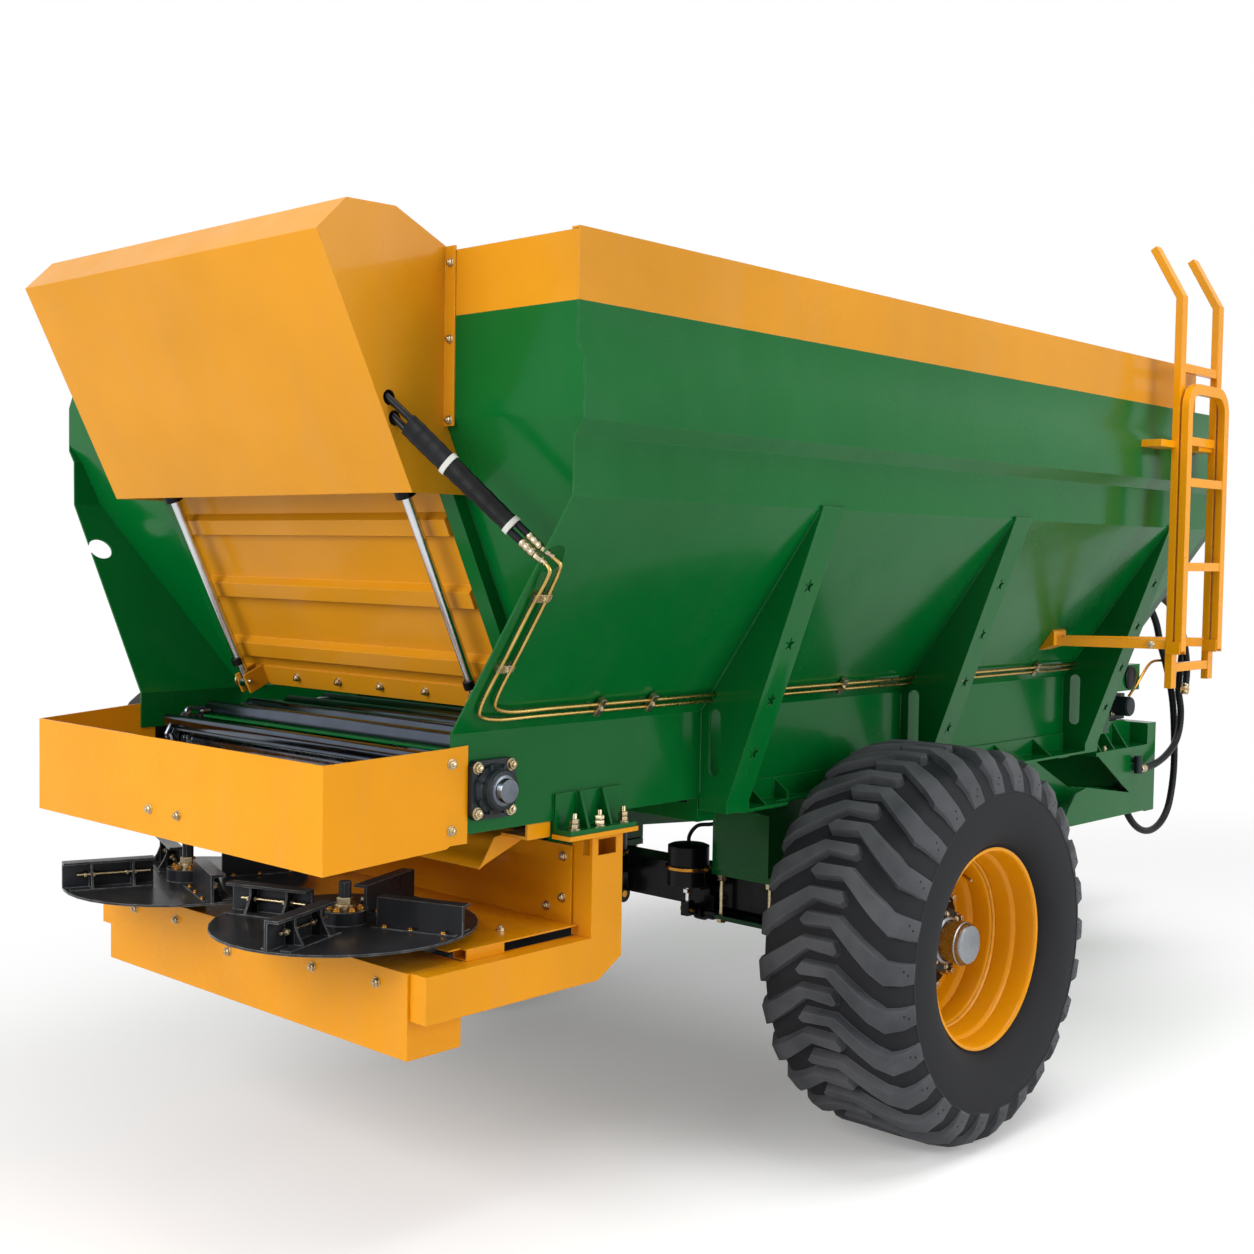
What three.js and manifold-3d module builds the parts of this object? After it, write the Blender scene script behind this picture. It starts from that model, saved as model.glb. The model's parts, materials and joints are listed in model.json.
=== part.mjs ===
// Towed manure spreader with a single axle, a floor chain, a lifting rear gate and two spinner discs.
// Millimetres. X is the machine's right, Y is forward, Z is up. Inside the machine group Y = 0 is the axle.

import * as THREE from "three";
import { mergeVertices } from "three/addons/utils/BufferGeometryUtils.js";
import Module from "manifold-3d";

const wasm = await Module();
wasm.setup();

// ---------------------------------------------------------------------------------------------
// Driving dimensions

// Clearances and stock
const seatGap = 0.3;
const runningGap = 5;
const slidingGap = 0.5;
const sheet = 5;
const thinSheet = 4;

// Wheels
const tyreRadius = 585;
const tyreWidth = 500;
const wheelCentreX = 1015;
const rimFlangeRadius = 298;
const rimWidth = 404;
const hubBackX = 868;
const hubRadius = 100;
const hubFlangeRadius = 165;
const wheelDiscX = -50;
const hubCapX = 1158;
const hubCapRadius = 62;
const axleStubRadius = 55;
const wheelSides = 36;

// Hopper
const hopperRear = -1640;
const hopperFront = 1770;
const hopperTop = 2280;
const beltTop = 2153;
const beltBottom = 2020;
const eavesHeight = 1852;
const creaseHeight = 1290;
const skirtBottom = 1045;
const topHalfWidth = 1105;
const beltHalfWidth = 1127;
const eavesHalfWidth = 1096;
const skirtHalfWidth = 700;
const frontPanDepth = 50;
const extensionHeight = 160;
const extensionSetback = 170;
const extensionFront = hopperFront - extensionSetback;
const extensionTop = hopperTop + extensionHeight;

// Inclined rear wall and its gate
const wallFoldHeight = 2040;
const gateLean = THREE.MathUtils.degToRad(25.15);
const gateOpeningHalfWidth = 560;
const gateHalfWidth = 620;
const gateBottomHeight = 1325;
const gateChannelRises = [115, 295, 475];
const gateTopHeight = 1980;
const rodX = 520;
const rodStandOff = 75;
const rodRadius = 13;
const barrelRadius = 26;
const barrelLength = 555;
const guideLipHalfWidth = 597;
const guideDepth = 36;

// Hood
const hoodHalfWidth = 665;
const hoodBottom = 1862;

// Conveyor
const shaftY = -1517;
const frontShaftY = hopperFront - 110;
const shaftHeight = 1151;
const chainRadius = 85;
const chainThickness = 14;
const chainWidth = 40;
const chainX = 600;
const slatPitch = 145;
const slatWidth = 50;
const slatHeight = 22;
const shaftRadius = 30;

// Spinner discs
const discX = 360;
const discY = -1690;
const discRadius = 335;
const discHeight = 785;
const discThickness = 6;
const vaneReach = 345;
const vaneHeight = 75;
const vaneCount = 4;

// Spinner frame
const crossBoxRear = -1748;
const crossBoxHalfWidth = 677;
const crossBoxBottom = 520;
const crossBoxTop = 730;
const armOuterX = 735;
const armBottom = 615;
const armFront = -1070;
const legRear = -1185;
const panWallY = -1190;
const panWallTop = 964;
const panFloorHeight = 756;
const panHalfWidth = 668;
const chuteHalfWidth = 600;
const hangerRear = -1295;
const hangerFront = -1050;
const hangerBase = 1012;

// Deflector box
const deflectorRear = -1980;
const deflectorFront = -1590;
const deflectorHalfWidthRear = 655;

// Axle
const axleHalfHeight = 65;
const axleHalfDepth = 60;
const axleHeight = 615;
const pedestalInnerX = 270;
const pedestalOuterX = 500;
const clampPlateHeight = 700;

// Ribs, rear to front
const ribRears = [-717, 300, hopperFront - 350];
const ribFlangeWidth = 100;
const ribTopX = 1106;
const ribTopZ = 1860;
const ribFootX = 800;
const ribFootZ = 1040;
const starHeights = [1181, 1333, 1489, 1648];
const starRadius = 24;

// Pressure pipes and hoses for the gate
const lowerPipe = { x: 737, z: 1322 };
const upperPipe = { x: 750, z: 1340 };
const pipeRadius = 5;
const pipeHole = { y: -1606, z: 1714, radius: 37 };
const gateHoseRadius = 9;

// Chassis, drawbar and stand
const frameHalfWidth = 600;
const deckTop = 945;
const frameFront = hopperFront + 710;
const drawbarFront = frameFront + 950;
const eyeOuterRadius = 55;
const eyeBoreRadius = 26;
const drawbarHeight = 760;
const jackX = -310;
const jackY = frameFront + 420;

// Ladder
const ladderRearY = hopperFront - 530;
const ladderTop = extensionTop + 210;
const ladderSpacing = 310;
const ladderX = 1200;
const foldingX = 1232;
const foldingCrown = 2350;
const railDepth = 25;
const railWidth = 40;
const hingeHeight = 1430;

// ---------------------------------------------------------------------------------------------
// Materials

function finish(color, roughness, metalness) {
  return new THREE.MeshStandardMaterial({ color, roughness, metalness });
}

const green = finish(0x046a34, 0.35, 0.1);
const darkGreen = finish(0x04502a, 0.4, 0.1);
const mustard = finish(0xd29a36, 0.45, 0.1);
const amber = finish(0xeaa524, 0.4, 0.1);
const blackPaint = finish(0x15171b, 0.45, 0.2);
const discBlack = finish(0x202328, 0.5, 0.3);
const wornSteel = finish(0x3a3d42, 0.35, 0.8);
const chrome = finish(0xb8bcc2, 0.2, 1);
const zinc = finish(0xb59a5c, 0.35, 0.9);
const castBlue = finish(0x27323c, 0.5, 0.4);
const tyreRubber = finish(0x2b2c30, 0.85, 0);
const hoseRubber = finish(0x18191b, 0.7, 0);

// ---------------------------------------------------------------------------------------------
// Geometry helpers

// A manifold-3d solid from a closed three.js geometry.
function solidOf(geometry) {
  const bare = geometry.clone();
  bare.deleteAttribute("normal");
  bare.deleteAttribute("uv");
  const merged = mergeVertices(bare, 1e-3);
  const index = merged.index.array;
  const kept = [];
  for (let i = 0; i < index.length; i += 3) {
    const [a, b, c] = [index[i], index[i + 1], index[i + 2]];
    if (a !== b && b !== c && c !== a) kept.push(a, b, c);
  }
  const vertProperties = new Float32Array(merged.attributes.position.array);
  const triVerts = new Uint32Array(kept);
  return new wasm.Manifold(new wasm.Mesh({ numProp: 3, vertProperties, triVerts }));
}

function geometryOf(solid) {
  const { vertProperties, triVerts } = solid.getMesh();
  const geometry = new THREE.BufferGeometry();
  geometry.setAttribute("position", new THREE.BufferAttribute(vertProperties, 3));
  geometry.setIndex(new THREE.BufferAttribute(triVerts, 1));
  geometry.computeVertexNormals();
  return geometry;
}

function join(...solids) {
  return solids.reduce((sum, next) => sum.add(next));
}

// The same solid on the other side of the machine's centre plane.
function mirrored(solid) {
  const { vertProperties, triVerts } = solid.getMesh();
  for (let i = 0; i < vertProperties.length; i += 3) vertProperties[i] = -vertProperties[i];
  for (let i = 0; i < triVerts.length; i += 3) {
    const first = triVerts[i];
    triVerts[i] = triVerts[i + 1];
    triVerts[i + 1] = first;
  }
  return new wasm.Manifold(new wasm.Mesh({ numProp: 3, vertProperties, triVerts }));
}

function bothSides(solid) {
  return join(solid, mirrored(solid));
}

function moved(solid, matrix) {
  const geometry = geometryOf(solid);
  geometry.applyMatrix4(matrix);
  return solidOf(geometry);
}

function box(x0, x1, y0, y1, z0, z1) {
  const geometry = new THREE.BoxGeometry(x1 - x0, y1 - y0, z1 - z0);
  geometry.translate((x0 + x1) / 2, (y0 + y1) / 2, (z0 + z1) / 2);
  return solidOf(geometry);
}

const unit = {
  x: new THREE.Vector3(1, 0, 0),
  y: new THREE.Vector3(0, 1, 0),
  z: new THREE.Vector3(0, 0, 1),
};

// The outline's two coordinates are (Y, Z) for a prism along x, (X, Z) along y and (X, Y) along z.
const prismFrames = {
  x: new THREE.Matrix4().makeBasis(unit.y, unit.z, unit.x),
  y: new THREE.Matrix4().makeBasis(unit.x, unit.z, unit.y.clone().negate()),
  z: new THREE.Matrix4(),
};

function prism(axis, shape, from, to, curveSegments = 8) {
  const geometry = new THREE.ExtrudeGeometry(shape, {
    depth: to - from,
    bevelEnabled: false,
    curveSegments,
  });
  geometry.translate(0, 0, axis === "y" ? -to : from);
  geometry.applyMatrix4(prismFrames[axis]);
  return solidOf(geometry);
}

function polygon(points) {
  return new THREE.Shape(points.map(([u, v]) => new THREE.Vector2(u, v)));
}

// A path moved sideways by a distance to its right, with mitred corners.
function offsetPath(path, distance) {
  const points = path.map(([u, v]) => new THREE.Vector2(u, v));
  const normals = points.slice(1).map((point, i) => {
    const along = point.clone().sub(points[i]).normalize();
    return new THREE.Vector2(along.y, -along.x);
  });
  return points.map((point, i) => {
    const before = normals[Math.max(i - 1, 0)];
    const after = normals[Math.min(i, normals.length - 1)];
    const mitre = before.clone().add(after).normalize();
    const reach = distance / mitre.dot(after);
    return [point.x + mitre.x * reach, point.y + mitre.y * reach];
  });
}

// The cross-section of a folded sheet whose outside follows the path.
function foldedSheet(path, thickness) {
  return polygon([...path, ...offsetPath(path, thickness).reverse()]);
}

// A round bar between two points.
function bar(start, end, radius, sides = 16) {
  const from = new THREE.Vector3(...start);
  const to = new THREE.Vector3(...end);
  const geometry = new THREE.CylinderGeometry(radius, radius, from.distanceTo(to), sides);
  const along = to.clone().sub(from).normalize();
  const turn = new THREE.Quaternion().setFromUnitVectors(unit.y, along);
  geometry.applyQuaternion(turn);
  const middle = from.add(to).multiplyScalar(0.5);
  geometry.translate(middle.x, middle.y, middle.z);
  return solidOf(geometry);
}

// A flat bar between two points: its width lies along the given axis direction.
function flatBar(start, end, width, depth, widthDirection) {
  const from = new THREE.Vector3(...start);
  const to = new THREE.Vector3(...end);
  const along = to.clone().sub(from);
  const geometry = new THREE.BoxGeometry(depth, width, along.length());
  const z = along.clone().normalize();
  const x = new THREE.Vector3().crossVectors(widthDirection, z).normalize();
  const y = new THREE.Vector3().crossVectors(z, x);
  geometry.applyMatrix4(new THREE.Matrix4().makeBasis(x, y, z));
  const middle = from.add(to).multiplyScalar(0.5);
  geometry.translate(middle.x, middle.y, middle.z);
  return solidOf(geometry);
}

// A tube along a smooth curve through the points.
function tube(points, radius, sides, steps) {
  const path = new THREE.CatmullRomCurve3(points.map((point) => new THREE.Vector3(...point)));
  const section = polygon(circlePoints(radius, sides));
  const options = { steps, extrudePath: path, bevelEnabled: false };
  return solidOf(new THREE.ExtrudeGeometry(section, options));
}

function circlePoints(radius, sides, centreU = 0, centreV = 0) {
  return Array.from({ length: sides }, (_, i) => {
    const angle = (2 * Math.PI * (i + 0.5)) / sides;
    return [centreU + radius * Math.cos(angle), centreV + radius * Math.sin(angle)];
  });
}

// A closed (radius, height) profile revolved about Y, then laid along X or stood along Z.
function revolved(profile, sides, axis) {
  const points = profile.map(([r, h]) => new THREE.Vector2(r, h));
  const geometry = new THREE.LatheGeometry(points, sides);
  if (axis === "x") {
    geometry.rotateY(Math.PI / sides);
    geometry.rotateZ(-Math.PI / 2);
  }
  if (axis === "z") geometry.rotateX(Math.PI / 2);
  return solidOf(geometry);
}

// ---------------------------------------------------------------------------------------------
// Scene graph

const group = new THREE.Group();
const machine = new THREE.Group();
const rearEnd = discY - discRadius;
machine.position.y = -(rearEnd + drawbarFront) / 2;
group.add(machine);

function part(name, solid, material, parent = machine) {
  const mesh = new THREE.Mesh(geometryOf(solid), material);
  mesh.name = name;
  parent.add(mesh);
  return mesh;
}

// ---------------------------------------------------------------------------------------------
// Hopper

const sidePath = [
  [topHalfWidth, hopperTop],
  [topHalfWidth, beltTop + 37],
  [beltHalfWidth, beltTop],
  [beltHalfWidth, beltBottom],
  [eavesHalfWidth + 2, beltBottom - 35],
  [eavesHalfWidth, eavesHeight],
  [skirtHalfWidth, creaseHeight],
  [skirtHalfWidth, skirtBottom],
];

function slopeX(z) {
  const share = (z - creaseHeight) / (eavesHeight - creaseHeight);
  return skirtHalfWidth + share * (eavesHalfWidth - skirtHalfWidth);
}

// Everything within the outside of the two sides, as an outline in (X, Z), grown by a clearance.
function hopperOutside(clearance) {
  const right = offsetPath(sidePath, -clearance);
  const left = right.map(([x, z]) => [-x, z]).reverse();
  return polygon([...right, ...left]);
}

// The space inside the two sides, as an outline in (X, Z), a seat gap away from them.
function hopperInside(clearance) {
  const right = offsetPath(sidePath, sheet + clearance);
  const left = right.map(([x, z]) => [-x, z]).reverse();
  return polygon([...right, ...left]);
}

function hangerBracket() {
  const outer = 765;
  const top = 1115;
  const inner = skirtHalfWidth - 1;
  const back = box(inner, inner + 9, hangerRear, hangerFront, hangerBase, top);
  const base = box(inner, outer, hangerRear, hangerFront, hangerBase, hangerBase + 12);
  const gussetShape = polygon([
    [inner, hangerBase + 6],
    [outer - 12, hangerBase + 6],
    [inner + 20, top],
    [inner, top],
  ]);
  const gussets = [-1215, -1130].map((y) => prism("y", gussetShape, y - 4, y + 4));
  return join(back, base, ...gussets);
}

function hopperSide() {
  const panel = prism("y", foldedSheet(sidePath, sheet), hopperRear, hopperFront);
  const { y, z, radius } = pipeHole;
  const hole = bar([slopeX(z) - 60, y, z + 42], [slopeX(z) + 60, y, z - 42], radius, 24);
  const slotShape = polygon([
    [hopperRear - 1, shaftHeight - 36],
    [-1470, shaftHeight - 36],
    [-1470, shaftHeight + 36],
    [hopperRear - 1, shaftHeight + 36],
  ]);
  const slot = prism("x", slotShape, skirtHalfWidth - 20, skirtHalfWidth + 20);
  return panel.subtract(hole).subtract(slot).add(hangerBracket());
}

const rightSide = hopperSide();
part("hopper_side_right", rightSide, green);
part("hopper_side_left", mirrored(rightSide), green);

const floorHalfWidth = skirtHalfWidth - sheet - seatGap;
const floorTop = shaftHeight + chainRadius - chainThickness / 2 - 3;
const sprocketRadius = chainRadius - chainThickness / 2 - 0.6;
const sprocketHalfWidth = 12;

// The floor reaches back over the rear shaft and is notched round its sprockets.
function hopperFloor() {
  const plate = box(-floorHalfWidth, floorHalfWidth, shaftY + 17, hopperFront - 200, floorTop - 6, floorTop);
  const notchHalf = sprocketHalfWidth + runningGap;
  const notch = bar(
    [chainX - notchHalf, shaftY, shaftHeight], [chainX + notchHalf, shaftY, shaftHeight],
    sprocketRadius + runningGap, 32,
  );
  return plate.subtract(bothSides(notch));
}
part("hopper_floor", hopperFloor(), green);

// The front wall is a shallow pan with a turned rim, closed on top as far back as the extension.
function frontWall() {
  const rim = prism("y", hopperInside(-sheet), hopperFront + seatGap, hopperFront + frontPanDepth);
  const rimInside = prism("y", hopperInside(0), hopperFront + 5 + seatGap, hopperFront + frontPanDepth + 1);
  const pan = rim.subtract(rimInside);
  const deckHalfWidth = topHalfWidth - sheet - seatGap;
  const deck = box(-deckHalfWidth, deckHalfWidth, extensionFront - 40, hopperFront + 4, hopperTop - 5, hopperTop);
  return pan.add(deck);
}
part("front_wall", frontWall(), darkGreen);

// ---------------------------------------------------------------------------------------------
// Rear wall, gate and lift cylinders

// A group on the inclined wall: X across, Y down the incline, Z out of its rear face.
const downIncline = new THREE.Vector3(0, Math.sin(gateLean), -Math.cos(gateLean));
const outOfWall = new THREE.Vector3(0, -Math.cos(gateLean), -Math.sin(gateLean));
const inclineFrame = new THREE.Matrix4().makeBasis(unit.x.clone().negate(), downIncline, outOfWall);
inclineFrame.setPosition(0, hopperRear, wallFoldHeight);
const incline = new THREE.Group();
incline.rotation.setFromRotationMatrix(inclineFrame);
incline.position.setFromMatrixPosition(inclineFrame);
machine.add(incline);

// Distance down the incline from the fold at a height.
function downTo(z) {
  return (wallFoldHeight - z) / Math.cos(gateLean);
}

function wallY(z) {
  return hopperRear + (wallFoldHeight - z) * Math.tan(gateLean);
}

// A channel that holds one edge of the gate, open towards the centre.
function gateGuide() {
  const web = 646;
  const shape = polygon([
    [guideLipHalfWidth, -1],
    [web, -1],
    [web, guideDepth],
    [guideLipHalfWidth, guideDepth],
    [guideLipHalfWidth, guideDepth - 5],
    [web - 6, guideDepth - 5],
    [web - 6, 5],
    [guideLipHalfWidth, 5],
  ]);
  return prism("y", shape, downTo(extensionTop - 40), downTo(gateBottomHeight - 25));
}

function rearWall() {
  const bottom = creaseHeight + 5;
  const path = [
    [wallY(bottom), bottom],
    [hopperRear, wallFoldHeight],
    [hopperRear, hopperTop],
  ];
  const halfSpan = beltHalfWidth + 20;
  const sheetSolid = prism("x", foldedSheet(path, sheet), -halfSpan, halfSpan);
  const trimmed = sheetSolid.intersect(prism("y", hopperInside(seatGap), -1700, -1200));
  const openingShape = polygon([
    [-1700, bottom - 20],
    [-1200, bottom - 20],
    [-1200, 1930],
    [-1700, 1930],
  ]);
  const opening = prism("x", openingShape, -gateOpeningHalfWidth, gateOpeningHalfWidth);
  const guides = moved(bothSides(gateGuide()), inclineFrame);
  const behindWall = prism("x", polygon([
    [hopperRear, wallFoldHeight],
    [hopperRear, hopperTop + 200],
    [hopperRear - 400, hopperTop + 200],
    [hopperRear - 400, 1200],
    [wallY(1200), 1200],
  ]), -halfSpan, halfSpan);
  return trimmed.subtract(opening).add(guides.intersect(behindWall.add(sheetSolid)));
}
part("rear_wall", rearWall(), green);

// The gate sheet with its folded stiffening channels, wiper strip and lugs for the rods.
function gatePanel() {
  const inner = 13;
  const outer = inner + thinSheet;
  const top = downTo(gateTopHeight);
  const bottom = downTo(gateBottomHeight);
  const panel = box(-gateHalfWidth, gateHalfWidth, top, bottom, inner, outer);
  const channelHalfWidth = guideLipHalfWidth - 9;
  const channels = gateChannelRises.map((rise) => {
    const middle = downTo(gateBottomHeight + rise);
    const shape = polygon([
      [middle - 34, outer - 1],
      [middle - 22, outer + 24],
      [middle + 22, outer + 24],
      [middle + 34, outer - 1],
    ]);
    return prism("x", shape, -channelHalfWidth, channelHalfWidth);
  });
  const strip = box(-channelHalfWidth, channelHalfWidth, bottom - 62, bottom, outer - 1, outer + 5);
  const lugs = [-rodX, rodX].flatMap((x) => [-1, 1].map((side) => {
    const centre = x + side * 21;
    return box(centre - 4, centre + 4, bottom - 66, bottom - 6, outer - 1, rodStandOff + 18);
  }));
  return join(panel, strip, ...channels, ...lugs);
}
part("rear_gate", gatePanel(), mustard, incline);

const rodEyeDown = downTo(gateBottomHeight) - 36;
function gateRod() {
  const eyeHalfWidth = 17 - seatGap;
  const eye = bar([-eyeHalfWidth, rodEyeDown, rodStandOff], [eyeHalfWidth, rodEyeDown, rodStandOff], 20);
  const top = downTo(hoodBottom + 60);
  const rod = bar([0, top, rodStandOff], [0, rodEyeDown - 5, rodStandOff], rodRadius);
  return eye.add(rod);
}

// Each barrel hangs by its head pin from two ears under the hood's roof.
const barrelBottomDown = downTo(hoodBottom + 28);
const headPinDown = barrelBottomDown - barrelLength + 10;
const headPinRadius = 12;
const headEarX = 30;
const headEarThickness = 6;

function gateBarrel() {
  const bottom = barrelBottomDown;
  const top = bottom - barrelLength;
  const outside = bar([0, top, rodStandOff], [0, bottom, rodStandOff], barrelRadius);
  const bore = bar([0, top + 20, rodStandOff], [0, bottom + 1, rodStandOff], rodRadius + slidingGap);
  const pinHalfLength = headEarX + headEarThickness;
  const headPin = bar(
    [-pinHalfLength, headPinDown, rodStandOff], [pinHalfLength, headPinDown, rodStandOff], headPinRadius, 12,
  );
  return outside.subtract(bore).add(headPin);
}

for (const [side, x] of [["right", rodX], ["left", -rodX]]) {
  const rod = part(`gate_rod_${side}`, gateRod(), chrome, incline);
  rod.position.x = -x;
  const barrel = part(`gate_cylinder_${side}`, gateBarrel(), blackPaint, incline);
  barrel.position.x = -x;
}

// ---------------------------------------------------------------------------------------------
// Hood over the raised gate

const hoodRoofPath = [
  [hopperRear - seatGap, extensionTop + 4],
  [-1795, extensionTop + 74],
  [-1935, extensionTop + 70],
  [-2015, extensionTop - 10],
  [-1738, hoodBottom],
];

// Centres of the slot's two ends in the right cheek, as (Y, Z): one for each gate hose
const hoseSlotEnds = [[-1792, 2031], [-1809, 2077]];

// The two ears that carry a cylinder's head pin, from the hood's roof down round the pin.
function cylinderEars() {
  const [, pinY, pinZ] = new THREE.Vector3(0, headPinDown, rodStandOff).applyMatrix4(inclineFrame).toArray();
  const roofZ = extensionTop + 68.5;
  const earShape = polygon([
    [pinY - 32, roofZ],
    [pinY - 20, pinZ - 20],
    [pinY + 20, pinZ - 20],
    [pinY + 32, roofZ],
  ]);
  const pinHole = bar([0, pinY, pinZ], [1000, pinY, pinZ], headPinRadius + slidingGap, 12);
  return [rodX - headEarX - headEarThickness, rodX + headEarX].map(
    (x) => prism("x", earShape, x, x + headEarThickness).subtract(pinHole),
  );
}

function hood() {
  const roof = prism("x", foldedSheet([...hoodRoofPath].reverse(), thinSheet), -hoodHalfWidth, hoodHalfWidth);
  const frontEdge = [
    [wallY(hoodBottom) - seatGap, hoodBottom],
    [hopperRear - seatGap, wallFoldHeight - 1],
  ];
  const cheekShape = polygon([...hoodRoofPath, ...frontEdge]);
  const cheek = prism("x", cheekShape, hoodHalfWidth - thinSheet, hoodHalfWidth);
  const flangeRear = hopperRear - seatGap - thinSheet;
  const flange = box(hoodHalfWidth - 1, hoodHalfWidth + 35, flangeRear, hopperRear - seatGap, 2022, extensionTop + 4);
  const hoseSlot = hoseSlotEnds
    .map(([y, z]) => bar([hoodHalfWidth - 20, y, z], [hoodHalfWidth + 20, y, z], 2 * gateHoseRadius, 20))
    .reduce((lower, upper) => lower.add(upper));
  return join(roof, cheek.subtract(hoseSlot), mirrored(cheek), bothSides(join(flange, ...cylinderEars())));
}
part("hood", hood(), mustard);

// ---------------------------------------------------------------------------------------------
// Extension boards round the hopper's rim

const extensionPath = [
  [topHalfWidth - 25, extensionTop],
  [topHalfWidth, extensionTop],
  [topHalfWidth, hopperTop],
];
const sideBoard = prism("y", foldedSheet(extensionPath, sheet), hopperRear, extensionFront);
part("extension_right", sideBoard, mustard);
part("extension_left", mirrored(sideBoard), mustard);

const boardHalfWidth = topHalfWidth - sheet - seatGap;
const rearBoard = box(-boardHalfWidth, boardHalfWidth, hopperRear, hopperRear + sheet, hopperTop, extensionTop - 6);
part("extension_rear", rearBoard, mustard);
const frontBoard = box(
  -boardHalfWidth, boardHalfWidth, extensionFront - sheet, extensionFront, hopperTop, extensionTop - 6,
);
part("extension_front", frontBoard, mustard);

// ---------------------------------------------------------------------------------------------
// Side ribs on their lower rail

function sideRib(rear) {
  const clear = skirtHalfWidth + seatGap;
  const webShape = polygon([
    [clear, ribFootZ],
    [ribFootX, ribFootZ],
    [ribTopX - 4, ribTopZ - 12],
    [slopeX(ribTopZ - 12) + 1, eavesHeight - 6],
    [clear, creaseHeight - 1],
  ]);
  const slot = join(
    box(732, 772, rear - 1, rear + 9, 1130, 1280),
    bar([752, rear - 1, 1130], [752, rear + 9, 1130], 20, 12),
    bar([752, rear - 1, 1280], [752, rear + 9, 1280], 20, 12),
  );
  const pipeHoles = [lowerPipe, upperPipe].map(
    ({ x, z }) => bar([x, rear - 1, z], [x, rear + 9, z], pipeRadius + 1.2, 8),
  );
  const web = prism("y", webShape, rear, rear + 8).subtract(slot).subtract(join(...pipeHoles));
  const flangePath = [
    [ribTopX, ribTopZ],
    [ribFootX, ribFootZ],
  ];
  const flange = prism("y", foldedSheet(flangePath, 8), rear, rear + ribFlangeWidth);
  const stars = starHeights.map((z) => starCutter(rear + ribFlangeWidth / 2, z));
  return web.add(flange.subtract(join(...stars)));
}

// A five-pointed star through a rib's flange at a height, one point up the flange.
function starCutter(y, z) {
  const innerRadius = 0.382 * starRadius;
  const points = Array.from({ length: 10 }, (_, i) => {
    const radius = i % 2 === 0 ? starRadius : innerRadius;
    const angle = Math.PI / 2 + (i * Math.PI) / 5;
    return [radius * Math.cos(angle), radius * Math.sin(angle)];
  });
  const up = new THREE.Vector3(ribTopX - ribFootX, 0, ribTopZ - ribFootZ).normalize();
  const outward = new THREE.Vector3().crossVectors(unit.y, up);
  const placed = new THREE.Matrix4().makeBasis(unit.y, up, outward);
  const x = ribFootX + ((z - ribFootZ) * (ribTopX - ribFootX)) / (ribTopZ - ribFootZ);
  placed.setPosition(x, y, z);
  return moved(prism("z", polygon(points), -20, 10), placed);
}

// The lower rail is an angle with small gussets that carries the ribs' feet.
function ribRail() {
  const outer = ribFootX;
  const inner = skirtHalfWidth + seatGap;
  const rear = ribRears[0] + 60;
  const front = ribRears[2] + ribFlangeWidth;
  const plate = box(inner, outer, rear, front, ribFootZ - 34, ribFootZ - 26);
  const back = box(inner, inner + 8, rear, front, ribFootZ - 30, ribFootZ + 34);
  const gussetShape = polygon([
    [inner, ribFootZ - 30],
    [outer - 10, ribFootZ - 30],
    [inner, ribFootZ + 34],
  ]);
  const gussets = [-520, -380, 620, 900, ribRears[2] - 240].map((y) => prism("y", gussetShape, y, y + 8));
  return join(plate, back, ...gussets);
}

// The middle rib stops above the tyre.
const tyreWellX = wheelCentreX - tyreWidth / 2 - 2 * runningGap;
const tyreWell = bar([tyreWellX, 0, tyreRadius], [1400, 0, tyreRadius], tyreRadius + 25, 32);

function ribFrame() {
  const ribs = ribRears.map((rear) => sideRib(rear));
  const toRail = ribRears.map((rear) => box(
    skirtHalfWidth + seatGap, ribFootX, rear, rear + ribFlangeWidth, ribFootZ - 30, ribFootZ + 1,
  ));
  const hopperEnvelope = prism("y", hopperOutside(seatGap), hopperRear, hopperFront + frontPanDepth);
  return join(ribRail(), ...ribs, ...toRail).subtract(tyreWell).subtract(hopperEnvelope);
}
const rightRibs = ribFrame();
part("rib_frame_right", rightRibs, green);
part("rib_frame_left", mirrored(rightRibs), green);

// ---------------------------------------------------------------------------------------------
// Floor conveyor

// Where a slat stands at a distance round the loop, from above the rear shaft forward.
function placeOnLoop(distance) {
  const straight = frontShaftY - shaftY;
  const halfTurn = Math.PI * chainRadius;
  const half = straight + halfTurn;
  const lower = distance >= half;
  const alongHalf = lower ? distance - half : distance;
  const turn = Math.max(alongHalf - straight, 0) / chainRadius + (lower ? Math.PI : 0);
  const travel = Math.min(alongHalf, straight);
  const y = lower ? frontShaftY - travel : shaftY + travel;
  return new THREE.Matrix4().makeRotationX(-turn).setPosition(0, y, shaftHeight);
}

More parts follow.
